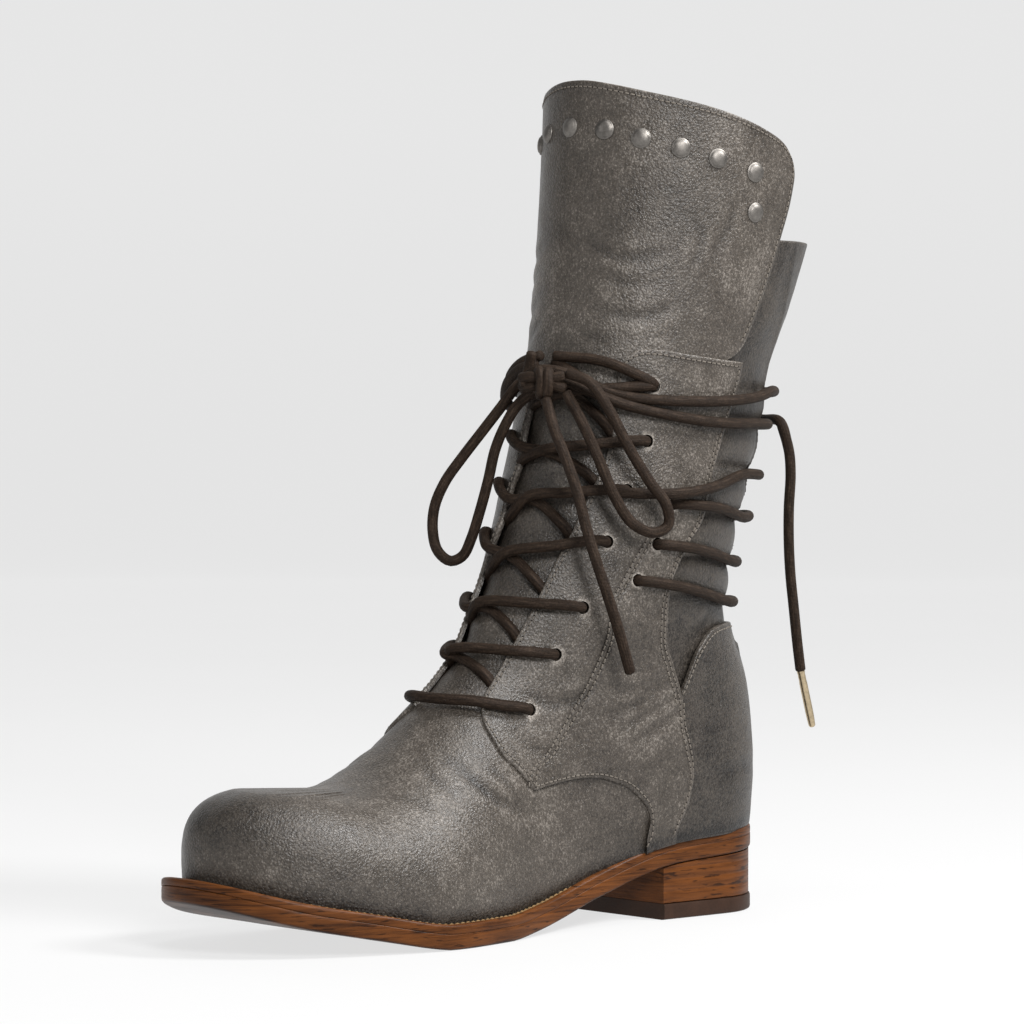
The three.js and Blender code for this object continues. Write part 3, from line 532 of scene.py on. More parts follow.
def leather(name, tones, grain=1.0, gloss=0.36):
    """Distressed leather: tones are its dark, middle and pale colours."""
    m = Nodes(name)
    # The tone numbers hold random tone and pale cut edges, and also painted shade and painted light from the
    # panels' creases, seams and recesses.
    tone = m.number("tone")
    clouds = m.noise(22, 4, 0.6)
    blotch = m.noise(120, 4, 0.62)
    flow = m.noise(1080, 2, 0.6, distortion=0.6, place=m.stretch((1, 1, 0.7)))
    pebble = m.cells(1050, "SMOOTH_F1", smooth=0.3)
    fine = m.noise(2100, 2, 0.7)
    cracks = m.cells(300, "DISTANCE_TO_EDGE", place=m.stretch((1, 1, 1.8)))
    mottle = m.math("ADD", m.spread(clouds, 0.3, 0.7, -0.10, 0.10), m.spread(blotch, 0.25, 0.75, -0.09, 0.09))
    speck = m.math("ADD", m.spread(flow, 0.34, 0.66, -0.14, 0.14), m.spread(pebble, 0.1, 0.6, 0.07, -0.11))
    speck = m.math("ADD", speck, m.spread(fine, 0.3, 0.7, -0.10, 0.10))
    shade = m.math("ADD", m.math("ADD", mottle, speck), m.math("MULTIPLY", tone, 0.5))
    shade = m.math("ADD", shade, 0.5)
    dark, middle, pale = tones
    color = m.ramp(shade, [(0.0, dark), (0.5, middle), (1.0, pale)])
    m.set(Base_Color=color, Roughness=m.spread(blotch, 0.3, 0.7, gloss - 0.07, gloss + 0.09),
          Specular_IOR_Level=0.42)
    crease = m.spread(cracks, 0.0, 0.05, 0.0, 1.0)
    m.bump((crease, 0.0002, 0.2 * grain), (pebble, 0.0004, 0.55 * grain), (flow, 0.0004, 0.6 * grain),
           (fine, 0.0002, 0.5 * grain))
    return m.material


def stacked_leather(name, dark, light, gloss, streak=900.0):
    """Polished sole leather with level streaks like wood."""
    m = Nodes(name)
    long = m.noise(1, 5, 0.6, place=m.stretch((38, 38, streak)), distortion=0.25)
    thin = m.noise(1, 4, 0.7, place=m.stretch((75, 75, streak * 2.6)))
    clouds = m.noise(30, 3)
    ink = m.noise(1, 2, 0.5, place=m.stretch((120, 120, streak * 1.1)))
    mixed = m.math("ADD", m.math("MULTIPLY", long, 0.62), m.math("MULTIPLY", thin, 0.38))
    mixed = m.math("ADD", mixed, m.spread(clouds, 0.3, 0.7, -0.08, 0.08))
    # The tone numbers hold painted shade under the outsole and in the welt groove, and a painted highlight on
    # the welt's crown.
    mixed = m.math("ADD", mixed, m.math("MULTIPLY", m.number("tone"), 0.4))
    middle = tuple(mix(a, b, 0.55) for a, b in zip(dark, light))
    color = m.ramp(mixed, [(0.30, dark), (0.46, middle), (0.62, light)])
    deep = m.spread(ink, 0.60, 0.68)
    color = m.blend(m.math("MULTIPLY", deep, 0.75, True), color, tuple(c * 0.35 for c in dark))
    m.set(Base_Color=color, Roughness=m.spread(long, 0.3, 0.7, gloss + 0.10, gloss), Specular_IOR_Level=0.14)
    m.bump((long, 0.0003, 0.35), (thin, 0.00012, 0.45))
    return m.material


def lace_material(name):
    """Round waxed lace: fine fibres along it, a faint twist, paler where the fibre lines stand high."""
    m = Nodes(name)
    route = m.route()
    split = m.add("ShaderNodeSeparateXYZ", {"Vector": route})
    around, far = split.outputs[0], split.outputs[1]
    lines = m.noise(1, 4, 0.65, place=m.add("ShaderNodeCombineXYZ", {
        "X": m.math("MULTIPLY", around, 16.0), "Y": m.math("MULTIPLY", far, 0.16)}).outputs[0])
    braid = m.math("SINE", m.math("ADD", m.math("MULTIPLY", far, 4.2), m.math("MULTIPLY", around, 25.13)))
    fluff = m.noise(1500, 3, 0.7)
    level = m.math("ADD", m.math("MULTIPLY", lines, 0.8), m.math("MULTIPLY", fluff, 0.35))
    color = m.ramp(level, [(0.30, (0.003, 0.0018, 0.001)), (0.56, (0.017, 0.0100, 0.006)),
                           (0.85, (0.055, 0.036, 0.024))])
    m.set(Base_Color=color, Roughness=0.7, Specular_IOR_Level=0.15)
    m.bump((lines, 0.0007, 0.7), (braid, 0.00012, 0.25), (fluff, 0.0002, 0.4))
    return m.material


def plain_material(name, color, rough, spread=0.25, metal=0.0, scale=500.0, depth=0.0001, coat=0.0):
    """One colour with fine uneven shade, gloss and bump."""
    m = Nodes(name)
    fine = m.noise(scale, 4, 0.65)
    broad = m.noise(scale / 9, 3, 0.5)
    level = m.math("ADD", m.math("MULTIPLY", fine, 0.5), m.math("MULTIPLY", broad, 0.5))
    low = tuple(c * (1 - spread) for c in color)
    high = tuple(min(1.0, c * (1 + spread)) for c in color)
    m.set(Base_Color=m.ramp(level, [(0.35, low), (0.65, high)]), Metallic=metal, Specular_IOR_Level=0.2,
          Roughness=m.spread(broad, 0.3, 0.7, rough - 0.06, rough + 0.06), Coat_Weight=coat)
    m.bump((fine, depth, 0.5))
    return m.material


LEATHER_TONES = ((0.006, 0.0045, 0.0034), (0.064, 0.0535, 0.0435), (0.28, 0.25, 0.22))
upper_leather = leather("upper_leather", LEATHER_TONES)
gusset_leather = leather("gusset_leather", LEATHER_TONES, grain=0.8, gloss=0.42)
lining_leather = plain_material("lining_leather", (0.15, 0.12, 0.09), 0.7, scale=900)
insole_leather = plain_material("insole_leather", (0.22, 0.16, 0.105), 0.65, scale=700)
sole_leather = stacked_leather("sole_leather", (0.013, 0.0035, 0.001), (0.122, 0.040, 0.009), 0.36)
heel_leather = stacked_leather("heel_leather", (0.014, 0.004, 0.001), (0.112, 0.036, 0.008), 0.38, 620)
lift_rubber = plain_material("lift_rubber", (0.030, 0.014, 0.008), 0.55, scale=1200)
lace_fibre = lace_material("lace_fibre")
seam_thread = plain_material("seam_thread", (0.135, 0.118, 0.100), 0.8, scale=2500)
welt_thread = plain_material("welt_thread", (0.20, 0.125, 0.055), 0.7, scale=2500)
# Dark discs of painted shade for the needle holes.
needle_hole_painted_shade = plain_material("needle_hole_painted_shade", (0.010, 0.008, 0.007), 0.9)
pewter = plain_material("pewter", (0.17, 0.158, 0.145), 0.48, 0.35, 1.0, 700, 0.00006)
brass = plain_material("brass", (0.47, 0.38, 0.25), 0.3, 0.3, 1.0, 800, 0.00005)

add_camera()


# Free cords of the bow: the CAD model's routes, in millimetres
INNER_LOOP = [
    (78.5, 7, 221), (80, -1, 217), (83, -8, 208), (88, -14, 198), (93, -20, 188), (98, -25, 178),
    (101, -28, 168), (102, -28, 158), (101, -26, 150), (97, -23, 146), (93, -20, 148), (91, -17, 155),
    (89, -14, 166), (87, -11, 179), (86, -8, 191), (84, -4, 201), (81, 0, 209), (78.5, 7, 214.5),
]
OUTER_LOOP = [
    (76.5, 25.5, 221.5), (72, 33, 218), (66, 38, 207), (59, 42, 192), (51, 46, 178), (45, 49, 169),
    (44, 49, 161), (50, 47, 158), (59, 44, 162), (66, 41, 173), (71, 37, 188), (75, 32, 202),
    (77.5, 25.5, 213.5),
]
FRONT_END = [
    (83.5, 20, 211), (84, 25, 200), (83, 31, 188), (81, 36, 174), (79, 39, 160), (76, 42, 146),
    (72, 44, 133), (67, 45, 119), (61, 45, 103),
]
REAR_END = [
    (-44.6, 24, 201.2), (-48, 25, 190), (-49, 25, 180), (-49, 24, 166), (-50, 23, 152), (-52, 22, 138),
    (-54, 22, 124), (-57, 21, 110), (-60, 20, 98),
]
REAR_TIP = [(-60.1, 20, 97.6), (-68, 19, 74)]
KNOT = np.array((81.0, 16.0, 218.0))
PATH_STEP = 1.6
LACE_SIDES = 14


def add_cord(name, points, node, pieces=()):
    path = smooth_path(points, PATH_STEP)
    mesh_points, faces, route = tube(path, LACE / 2, LACE_SIDES)
    piece = make_piece(name, mesh_points, faces, lace_fibre, (node,), route=route)
    return piece


def add_tip():
    """The metal tip: a rolled tube, pinched where it grips the lace."""
    path = smooth_path([REAR_TIP[0], np.mean(REAR_TIP, axis=0), REAR_TIP[1]], 1.0)
    points, faces, route = tube(path, TIP / 2, 18, cap=0.7)
    far = route[:, 1]
    end = far.max()
    pinch = 1 - 0.10 * np.exp(-((far - 3.4) / 0.8) ** 2) - 0.10 * np.exp(-((far - 5.6) / 0.8) ** 2)
    taper = 1 - 0.22 * np.clip((far - 0.7 * end) / (0.3 * end), 0, 1) ** 2
    along_path = even_steps(path, 0.25)
    nearest = np.linalg.norm(points[:, None] - along_path[None], axis=-1).argmin(1)
    centre = along_path[nearest]
    points = centre + (points - centre) * (pinch * taper)[:, None]
    return make_piece("lace_tip_metal", points, faces, brass, ("lace_tip",), route=route)


add_cord("loop_inner_cord", INNER_LOOP, "bow_loop_inner")
add_cord("loop_outer_cord", OUTER_LOOP, "bow_loop_outer")
add_cord("front_end_cord", FRONT_END, "lace_end_front")
add_cord("rear_end_cord", REAR_END, "lace_end_rear", [add_tip()])


# Panels: closed sheets over the last, with rounded edges, relief and tone
GRID_STEP = 1.4
EDGE_MARKS = (0.0, 0.12, 0.32, 0.65)
EDGE_ROUND = 0.65


def shares(length, step=GRID_STEP):
    """Shares of a length: even steps, with closer ones for the round edges."""
    marks = np.array(EDGE_MARKS)
    count = max(3, int(round((length - 2 * marks[-1] - 2 * step) / step)))
    middle = np.linspace(marks[-1] + step * 0.7, length - marks[-1] - step * 0.7, count)
    return np.concatenate([marks, middle, (length - marks)[::-1]]) / length


def places_line(rows):
    """A line of (degrees, ring) places and its length along the boot."""
    rows = np.array(rows, float) * (1, 200)
    way = unit(np.diff(rows, axis=0))
    turns = np.degrees(np.arccos(np.clip((way[1:] * way[:-1]).sum(1), -1, 1)))
    corners = [0, *(np.nonzero(turns > 62)[0] + 1), len(rows) - 1]
    runs = [smooth_path(rows[a:b + 1], 0.8) for a, b in zip(corners[:-1], corners[1:])]
    dense = np.vstack([runs[0]] + [run[1:] for run in runs[1:]]) / (1, 200)
    return dense, lengths_of(surface(dense[:, 0], dense[:, 1]))


def at_shares(line, spots):
    dense, lengths = line
    return np.stack([np.interp(spots * lengths[-1], lengths, dense[:, k]) for k in (0, 1)], -1)


def coons(bottom, top, left, right, step=GRID_STEP):
    """Places of a four-sided patch; the lines run left to right and bottom to top."""
    lines = [places_line(rows) for rows in (bottom, top, left, right)]
    u = shares(max(lines[0][1][-1], lines[1][1][-1]), step)
    v = shares(max(lines[2][1][-1], lines[3][1][-1]), step)
    b, t = at_shares(lines[0], u)[None], at_shares(lines[1], u)[None]
    l, r = at_shares(lines[2], v)[:, None], at_shares(lines[3], v)[:, None]
    u, v = u[None, :, None], v[:, None, None]
    corners = ((1 - u) * (1 - v) * b[:, :1] + u * (1 - v) * b[:, -1:]
               + (1 - u) * v * t[:, :1] + u * v * t[:, -1:])
    grid = (1 - v) * b + v * t + (1 - u) * l + u * r - corners
    return grid[..., 0], grid[..., 1]


def rows_patch(ring_low, ring_high, edges, step=GRID_STEP):
    """Places of a patch by rings: edges(ring) gives its first and last degrees."""
    rings = np.linspace(ring_low, ring_high, 240)
    first, last = edges(rings)
    middle = lengths_of(surface((first + last) / 2, rings))
    v = shares(middle[-1], step)
    rings_at = np.interp(v * middle[-1], middle, rings)
    widest = max(lengths_of(surface(np.linspace(*edges(np.array(r)), 60), r))[-1]
                 for r in np.linspace(ring_low, ring_high, 9))
    u = shares(widest, step)
    first, last = edges(rings_at)
    return first[:, None] + (last - first)[:, None] * u[None, :], np.repeat(rings_at[:, None], len(u), 1)


def table_line(rows):
    """Straight readings between rows of (ring, value, ...)."""
    rows = np.array(rows, float)
    return lambda ring, column=1: np.interp(ring, rows[:, 0], rows[:, column])


def near_line(points, line):
    """Distance of each point to a line of points, and the share of the line there."""
    flat = points.reshape(-1, 3)
    best = np.full(len(flat), 1e9)
    spot = np.zeros(len(flat))
    lengths = lengths_of(line)
    for i in range(len(line) - 1):
        a, d = line[i], line[i + 1] - line[i]
        t = np.clip(((flat - a) @ d) / max(1e-9, d @ d), 0, 1)
        far = np.linalg.norm(flat - (a + t[:, None] * d), axis=1)
        closer = far < best
        best = np.where(closer, far, best)
        spot = np.where(closer, (lengths[i] + t * (lengths[i + 1] - lengths[i])) / lengths[-1], spot)
    return best.reshape(points.shape[:-1]), spot.reshape(points.shape[:-1])


def unevenness(points, size, seed):
    """Soft random relief between -1 and 1, with features of that size."""
    draw = np.random.default_rng(seed)
    total = np.zeros(points.shape[:-1])
    for _ in range(9):
        direction = unit(draw.normal(size=3))
        wave = 2 * np.pi / (size * draw.uniform(0.7, 1.6))
        total += np.sin(points @ direction * wave + draw.uniform(0, 2 * np.pi))
    return total / 4.5


def creases(points, table):
    """Relief of soft troughs with ridges beside them, with tone that paints shade in the troughs and light on
    the ridges, from (places, half width, depth).
    """
    relief = np.zeros(points.shape[:-1])
    tone = np.zeros(points.shape[:-1])
    for places, width, depth in table:
        line = smooth_path(surface(*np.array(places, float).T), 2.0)
        reach = 5 * width
        inside = np.all((points > line.min(0) - reach) & (points < line.max(0) + reach), axis=-1)
        if not inside.any():
            continue
        far, spot = near_line(points[inside], line)
        fade = np.sin(np.pi * np.clip(spot, 0.02, 0.98)) ** 0.6
        trough = np.exp(-(far / width) ** 2)
        ridge = np.exp(-((far - 2.1 * width) / (1.1 * width)) ** 2)
        relief[inside] += depth * fade * (0.45 * ridge - trough)
        # Painted shade in each trough and painted light on the ridges beside it.
        tone[inside] += fade * (0.16 * ridge - 0.34 * trough) * min(1.0, depth / 0.5)
    return relief, tone


def edge_distances(base):
    """Distance along the boot to the left, right, bottom and top edges."""
    across = np.linalg.norm(np.diff(base, axis=1), axis=-1)
    up = np.linalg.norm(np.diff(base, axis=0), axis=-1)
    left = np.concatenate([np.zeros((len(base), 1)), np.cumsum(across, 1)], 1)
    bottom = np.concatenate([np.zeros((1, base.shape[1])), np.cumsum(up, 0)], 0)
    return left, left[:, -1:] - left, bottom, bottom[-1:] - bottom


class Panel:
    """A sheet of leather over the last: where it lies, how thick it is and what is on it."""

    def __init__(self, places, height, thickness, open_edges=""):
        self.degrees, self.ring = places
        self.base = surface(self.degrees, self.ring)
        self.normal = outward(self.base)
        self.shape = self.degrees.shape
        self.thickness = thickness
        names = ("left", "right", "bottom", "top")
        self.far = dict(zip(names, edge_distances(self.base)))
        shown = [self.far[n] for n in names if n not in open_edges.split()]
        self.edge = np.minimum.reduce(shown) if shown else np.full(self.shape, 99.0)
        deep = np.clip(EDGE_ROUND - self.edge, 0, EDGE_ROUND)
        drop = EDGE_ROUND - np.sqrt(np.maximum(0, EDGE_ROUND ** 2 - deep ** 2))
        self.height = np.broadcast_to(height, self.shape) - drop
        self.tone = np.zeros(self.shape)
        self.keep = None
        self.snap = []

    def wrinkle(self, table):
        relief, tone = creases(self.base, table)
        self.height = self.height + relief
        self.tone = self.tone + tone

    def outer(self):
        return self.base + self.normal * self.height[..., None]

    def line(self, side, inset, start=0.0, end=0.0):
        """Outer points and normals of a line inside an edge."""
        far = self.far[side]
        outer = self.outer()
        if side in ("bottom", "top"):
            far, outer, normal = far.T, outer.transpose(1, 0, 2), self.normal.transpose(1, 0, 2)
        else:
            normal = self.normal
        if side in ("right", "top"):
            far, outer, normal = far[:, ::-1], outer[:, ::-1], normal[:, ::-1]
        rows = range(len(far))
        points = np.array([[np.interp(inset, far[i], outer[i, :, k]) for k in range(3)] for i in rows])
        ways = np.array([[np.interp(inset, far[i], normal[i, :, k]) for k in range(3)] for i in rows])
        lengths = lengths_of(points)
        chosen = (lengths >= start) & (lengths <= lengths[-1] - end)
        return points[chosen], unit(ways[chosen])

    def cut_holes(self, holes, radius):
        """Round holes: the grid's points near each rim move onto it."""
        outer = self.outer()
        keep = np.ones(self.shape, bool)
        for centre, way in holes:
            flat = outer - centre
            flat = flat - (flat @ way)[..., None] * way
            far = np.linalg.norm(flat, axis=-1)
            near = np.linalg.norm(outer - centre, axis=-1) < 4 * radius
            self.snap.append((near, flat, far, radius))
            keep &= ~(near & (far < radius * 0.93))
        self.keep = keep

    def mesh(self):
        rows, cols = self.shape
        outer = self.outer()
        inner = self.base + self.normal * (self.height - self.thickness)[..., None]
        size = rows * cols
        faces = grid_faces(rows, cols)
        if self.keep is not None:
            kept = self.keep.ravel()[faces].all(1)
            faces = faces[kept]
            rim = edges_of_holes(faces, rows, cols)
            for near, flat, far, radius in self.snap:
                border = np.zeros(size, bool)
                border[np.unique(rim)] = True
                chosen = border.reshape(self.shape) & near & (far < radius * 2.2)
                move = (flat * (radius / np.maximum(far, 1e-6) - 1)[..., None]) * chosen[..., None]
                outer = outer + move
                inner = inner + move
                self.tone = self.tone + 0.9 * chosen
        else:
            rim = np.zeros((0, 2), int)
        i = np.arange
        around = np.concatenate([i(cols), i(1, rows) * cols + cols - 1,
                                 (rows - 1) * cols + i(cols - 2, -1, -1), i(rows - 2, 0, -1) * cols])
        loop = np.stack([around, np.roll(around, -1)], 1)
        wall = [(b, a, size + a, size + b) for a, b in np.vstack([loop, rim[:, ::-1]])]
        quads = np.vstack([faces, faces[:, ::-1] + size, wall])
        used = np.unique(quads)
        points = np.concatenate([outer.reshape(-1, 3), inner.reshape(-1, 3)])
        tone = np.concatenate([self.tone.ravel(), np.full(size, -0.2)])
        order = np.full(2 * size, -1)
        order[used] = np.arange(len(used))
        return points[used], order[quads], tone[used]


def edges_of_holes(faces, rows, cols):
    """Edges of the grid's faces that border a hole, in the faces' own direction."""
    edges = np.concatenate([faces[:, [k, (k + 1) % 4]] for k in range(4)])
    key = np.sort(edges, 1) @ np.array([rows * cols, 1])
    _, first, counts = np.unique(key, return_index=True, return_counts=True)
    single = edges[first[counts == 1]]
    i, j = single // cols, single % cols
    outside = ((i == 0).all(1) | (i == rows - 1).all(1) | (j == 0).all(1) | (j == cols - 1).all(1))
    return single[~outside]


def add_panel(name, panel, material, replaces=()):
    points, quads, tone = panel.mesh()
    return make_piece(name, points, quads, material, replaces, {"tone": tone}, sharp=70)


# Lines on the upper, as (degrees, ring), outer side; the inner side mirrors most of them
REAR_LINE = [
    (127, 0.0), (126, .065), (126, .132), (122, .219), (115, .301), (110, .353), (105, .416), (97, .473),
    (92, .509), (90, .585), (90, .611), (91, .631), (94, .667), (99, .702), (97.5, .753), (98, .773),
    (99, .801), (100, .845), (99.5, .870),
]
SEAM_LINE = [
    (32, .364), (37, .345), (45, .319), (56, .281), (68, .240), (77, .202), (81, .183), (83, .191),
    (87, .201), (91, .209), (97, .210), (101, .202), (107, .183), (113, .147), (117, .116), (119, .085),
    (120, .053), (120, 0.0), (127, 0.0),
]
INNER_SEAM = [(15, .367), (24, .345), (34, .319), (50, .281), (66, .240)] + SEAM_LINE[5:]
OUTER_FACING = [
    (32, .364), (28, .386), (27, .410), (27, .477), (30, .548), (33, .604), (37, .652), (39, .682),
    (42, .724), (44, .744), (46, .784), (44, .830), (43.5, .861),
]
INNER_FACING = [
    (15, .367), (15, .41), (17, .48), (17, .55), (17, .604), (14, .632), (9, .671), (8, .717), (4, .749),
    (6, .787), (5, .820), (5, .861),
]
QUARTER_TOP = [(43.5, .861), (47, .873), (51, .879), (59, .880), (72, .876), (87, .872), (99.5, .870)]
INNER_TOP = [(5, .861), (20, .866), (44, .874)] + QUARTER_TOP[3:]
BAND_LINE = [
    (74, .667), (70, .629), (66, .584), (64, .564), (66, .500), (67, .431), (67.5, .400), (68, .363),
    (69, .330), (72, .278), (74, .236), (79, .192),
]
COUNTER_TOP = [
    (104, .416), (105, .445), (106.5, .475), (109, .501), (114, .528), (121, .549), (138, .566), (160, .574),
]
FLAP_SIDE = [
    (66, .832), (84, .862), (98, .885), (101, .93), (101.5, 1.0), (102, 1.047), (101, 1.09), (98, 1.118),
]
FLAP_TOP = [
    (98, 1.118), (93, 1.146), (85, 1.170), (75, 1.193), (65, 1.211), (54, 1.226), (42, 1.239),
    (28, 1.252), (13, 1.261), (0, 1.263),
]
FRONT_HOLES = [
    (.372, 50, -33), (.463, 47, -34), (.543, 51, -35), (.653, 55, -30), (.726, 58, -24), (.785, 62, -21),
    (.842, 60, -20),
]
REAR_HOLES = [(.603, 73), (.660, 78), (.716, 81)]

SINK = 0.9
VAMP_STEP = 1.9
VAMP_WIDTHS = table_line([
    (0, 129, 129), (.1, 127, 127), (.16, 122, 122), (.2, 116, 116), (.215, 110, 110), (.24, 84, 86),
    (.28, 68, 72), (.32, 54, 60), (.367, 42, 50), (.42, 34, 44), (.5, 34, 44), (.6, 36, 48),
    (.7, 36, 54), (.8, 36, 58), (.9, 36, 58),
])
TONGUE_DEPTH = table_line([(0, 0), (.355, 0), (.385, -1.2), (.43, -2.4), (.87, -2.5)])
FLAP_HEIGHT = table_line([(.8, -.15), (.885, -.15), (.93, .1), (1.3, .1)])

# Creases: places along each, half width, depth
CREASES = [
    ([(77.7, 1.052), (76.5, 1.014), (72.3, .974)], 2.0, .35),
    ([(18.2, .996), (32.5, .979), (46.2, .976), (57.6, .987)], 2.3, .45),
    ([(18.1, .938), (33, .919), (50, .914), (64, .927)], 2.3, .45),
    ([(20, .968), (38, .950), (56, .948)], 1.8, .30),
    ([(12, .915), (24, .895), (36, .885)], 1.8, .30),
    ([(62.3, 1.029), (67.6, .996), (66, .964)], 1.8, .35),
    ([(55, .227), (71.5, .170), (81.5, .143), (90.6, .130)], 2.2, .55),
    ([(28.8, .296), (49.2, .247), (64.7, .197), (74, .160)], 2.3, .50),
    ([(52.6, .267), (66, .222), (75.4, .180), (87.8, .150)], 1.8, .35),
    ([(30, .262), (46, .222), (60, .176)], 2.0, .35),
    ([(40, .190), (55, .160), (68, .128)], 2.2, .30),
    ([(88, .345), (98.1, .398), (104.7, .425)], 2.0, .50),
    ([(94, .310), (103.3, .374), (108.4, .402)], 2.0, .45),
    ([(82, .372), (92, .412), (100, .445)], 2.2, .45),
    ([(70.9, .426), (81.9, .420), (92.2, .440), (97.8, .468)], 2.2, .35),
    ([(42.5, .396), (54.6, .384), (63.8, .395), (69.4, .419)], 2.2, .40),
    ([(52, .330), (62, .300), (72, .290)], 2.4, .35),
    ([(105.6, .520), (113.9, .546), (122.4, .575)], 2.2, .40),
    ([(126, .200), (140, .230), (158, .240)], 2.6, .25),
    ([(78, .545), (86, .560), (90, .575)], 2.0, .30),
]
CREASES += [([(-d, r) for d, r in places], width, depth) for places, width, depth in CREASES]


def mirrored(rows):
    return [(-degrees, ring) for degrees, ring in rows]


def dress(panel, seed, low=True, burnish=0.0):
    """Creases, soft unevenness with random tone and a pale cut edge for a panel, with painted shade in the
    crease troughs, along the stitch line inside each edge and, where low, at the foot of the upper by the
    welt, and painted light on the crease ridges.
    """
    panel.wrinkle(CREASES)
    soft = unevenness(panel.base, 26, seed)
    small = unevenness(panel.base, 7, seed + 1)
    panel.height = panel.height + 0.12 * soft + 0.05 * small
    panel.tone = panel.tone + 0.10 * soft + 0.06 * small
    # A pale cut edge at the rim, then a band of painted shade along the stitch line about 2 mm in.
    near_edge = np.clip(1 - panel.edge / 1.1, 0, 1)
    panel.tone = panel.tone + 0.34 * near_edge ** 2 - 0.16 * np.exp(-((panel.edge - 2.2) / 0.9) ** 2)
    # Painted shade along the foot of the upper, where it meets the welt.
    if low:
        rise = panel.base[..., 2] - feather(panel.base[..., 0])
        panel.tone = panel.tone - 0.55 * np.exp(-(rise / 4.5) ** 2)
    return panel


def holes_on(panel, places):
    """Cut lace holes at places on a panel."""
    spots = []
    for degrees, ring in places:
        base = surface(degrees, ring)
        way = outward(base)
        spots.append((base + way * OVERLAY, way))
    panel.cut_holes(spots, EYELET * 0.46)


# Vamp with the tongue it runs into
vamp = Panel(rows_patch(0.0, 0.872, lambda ring: (-VAMP_WIDTHS(ring, 1), VAMP_WIDTHS(ring, 2)), VAMP_STEP),
             0.0, 1.5, "bottom")
vamp.height = vamp.height + TONGUE_DEPTH(vamp.ring)
vamp.base[0, :, 2] -= SINK
dress(vamp, 11)
tip_x = BACK + SOLE_LENGTH
toe = np.exp(-((tip_x - vamp.base[..., 0]) / 34) ** 2)
toe_up = np.clip((vamp.base[..., 2] - feather(vamp.base[..., 0]) - 8) / 24, 0, 1)
vamp.tone = vamp.tone - 0.62 * toe * toe_up
tongue = np.clip((vamp.ring - 0.38) / 0.03, 0, 1)
for low, high in zip(FRONT_HOLES[:-1], FRONT_HOLES[1:]):
    middle = (low[0] + high[0]) / 2
    vamp.height = vamp.height + 0.9 * tongue * np.exp(-((vamp.ring - middle) / 0.020) ** 2)
# Painted shade darkens the tongue, which lies recessed under the lacing.
vamp.tone = vamp.tone - 0.22 * tongue
add_panel("vamp", vamp, upper_leather, ("upper",))

# Quarters, with their facings and lace holes
outer_quarter = Panel(coons(SEAM_LINE, QUARTER_TOP, OUTER_FACING, REAR_LINE), OVERLAY, 1.35)
inner_quarter = Panel(coons(mirrored(INNER_SEAM)[::-1], mirrored(INNER_TOP)[::-1], mirrored(REAR_LINE),
                            mirrored(INNER_FACING)), OVERLAY, 1.35)
for panel, side, seed in ((outer_quarter, 1, 21), (inner_quarter, -1, 31)):
    at_sole = panel.ring < 0.004
    panel.base[..., 2] -= SINK * at_sole
    dress(panel, seed)
    band_points = surface(*np.array([(side * d, r) for d, r in BAND_LINE]).T)
    far, _ = near_line(panel.base, smooth_path(band_points, 2.0))
    panel.height = panel.height - 0.22 * np.exp(-((far - 1.5) / 0.8) ** 2)
    # Painted shade along the band's pressed groove.
    panel.tone = panel.tone - 0.22 * np.exp(-((far - 1.5) / 1.0) ** 2)
    front = [(hole[1 if side > 0 else 2], hole[0]) for hole in FRONT_HOLES]
    rear = [(side * degrees, ring) for ring, degrees in REAR_HOLES]
    holes_on(panel, front + rear)
add_panel("quarter_outer", outer_quarter, upper_leather, ("upper",))
add_panel("quarter_inner", inner_quarter, upper_leather, ("upper",))

# Heel counter, behind the quarters
counter_side = [(degrees - 2.5, ring) for degrees, ring in REAR_LINE if ring < 0.36]
counter_top = COUNTER_TOP + [(180, .576)]
counter_top += [(360 - d, r) for d, r in counter_top[-2::-1]]
counter = Panel(coons([(124.5, 0), (235.5, 0)], counter_top, counter_side + [counter_top[0]],
                      [(360 - d, r) for d, r in counter_side + [counter_top[0]]]), 1.15, 1.2, "left right")
tucked = np.clip(np.minimum(counter.far["left"], counter.far["right"]) / 4.5, 0, 1)
# Painted shade darkens the whole counter at the back of the boot.
counter.tone = counter.tone - 0.40
counter.height = counter.height - 1.3 * (1 - tucked) ** 1.5
counter.base[0, :, 2] -= SINK
dress(counter, 41)
add_panel("heel_counter", counter, upper_leather, ("counter",))

# Tall front flap
flap_top = mirrored(FLAP_TOP)[:-1] + FLAP_TOP[::-1]
flap = Panel(coons([(-66, .832), (-30, .832), (0, .832), (30, .832), (66, .832)], flap_top,
                   mirrored(FLAP_SIDE), FLAP_SIDE), 0.0, 2.0)
flap.height = flap.height + FLAP_HEIGHT(flap.ring)
dress(flap, 51, low=False)
add_panel("flap", flap, upper_leather, ("front_flap",))

# Soft gusset behind the quarters, blown out between the laces
PINCHES = (.603, .656, .713, .766, .812, .842)


def gusset_edges(ring):
    rows = np.array([(r, d) for d, r in REAR_LINE if r > 0.38] + [(.90, 99), (1.1, 99)])
    edge = np.interp(ring, rows[:, 0], rows[:, 1]) - np.interp(ring, (.38, .86, .89, 1.1), (7, 7, 1.5, 1.5))
    return edge, 360 - edge


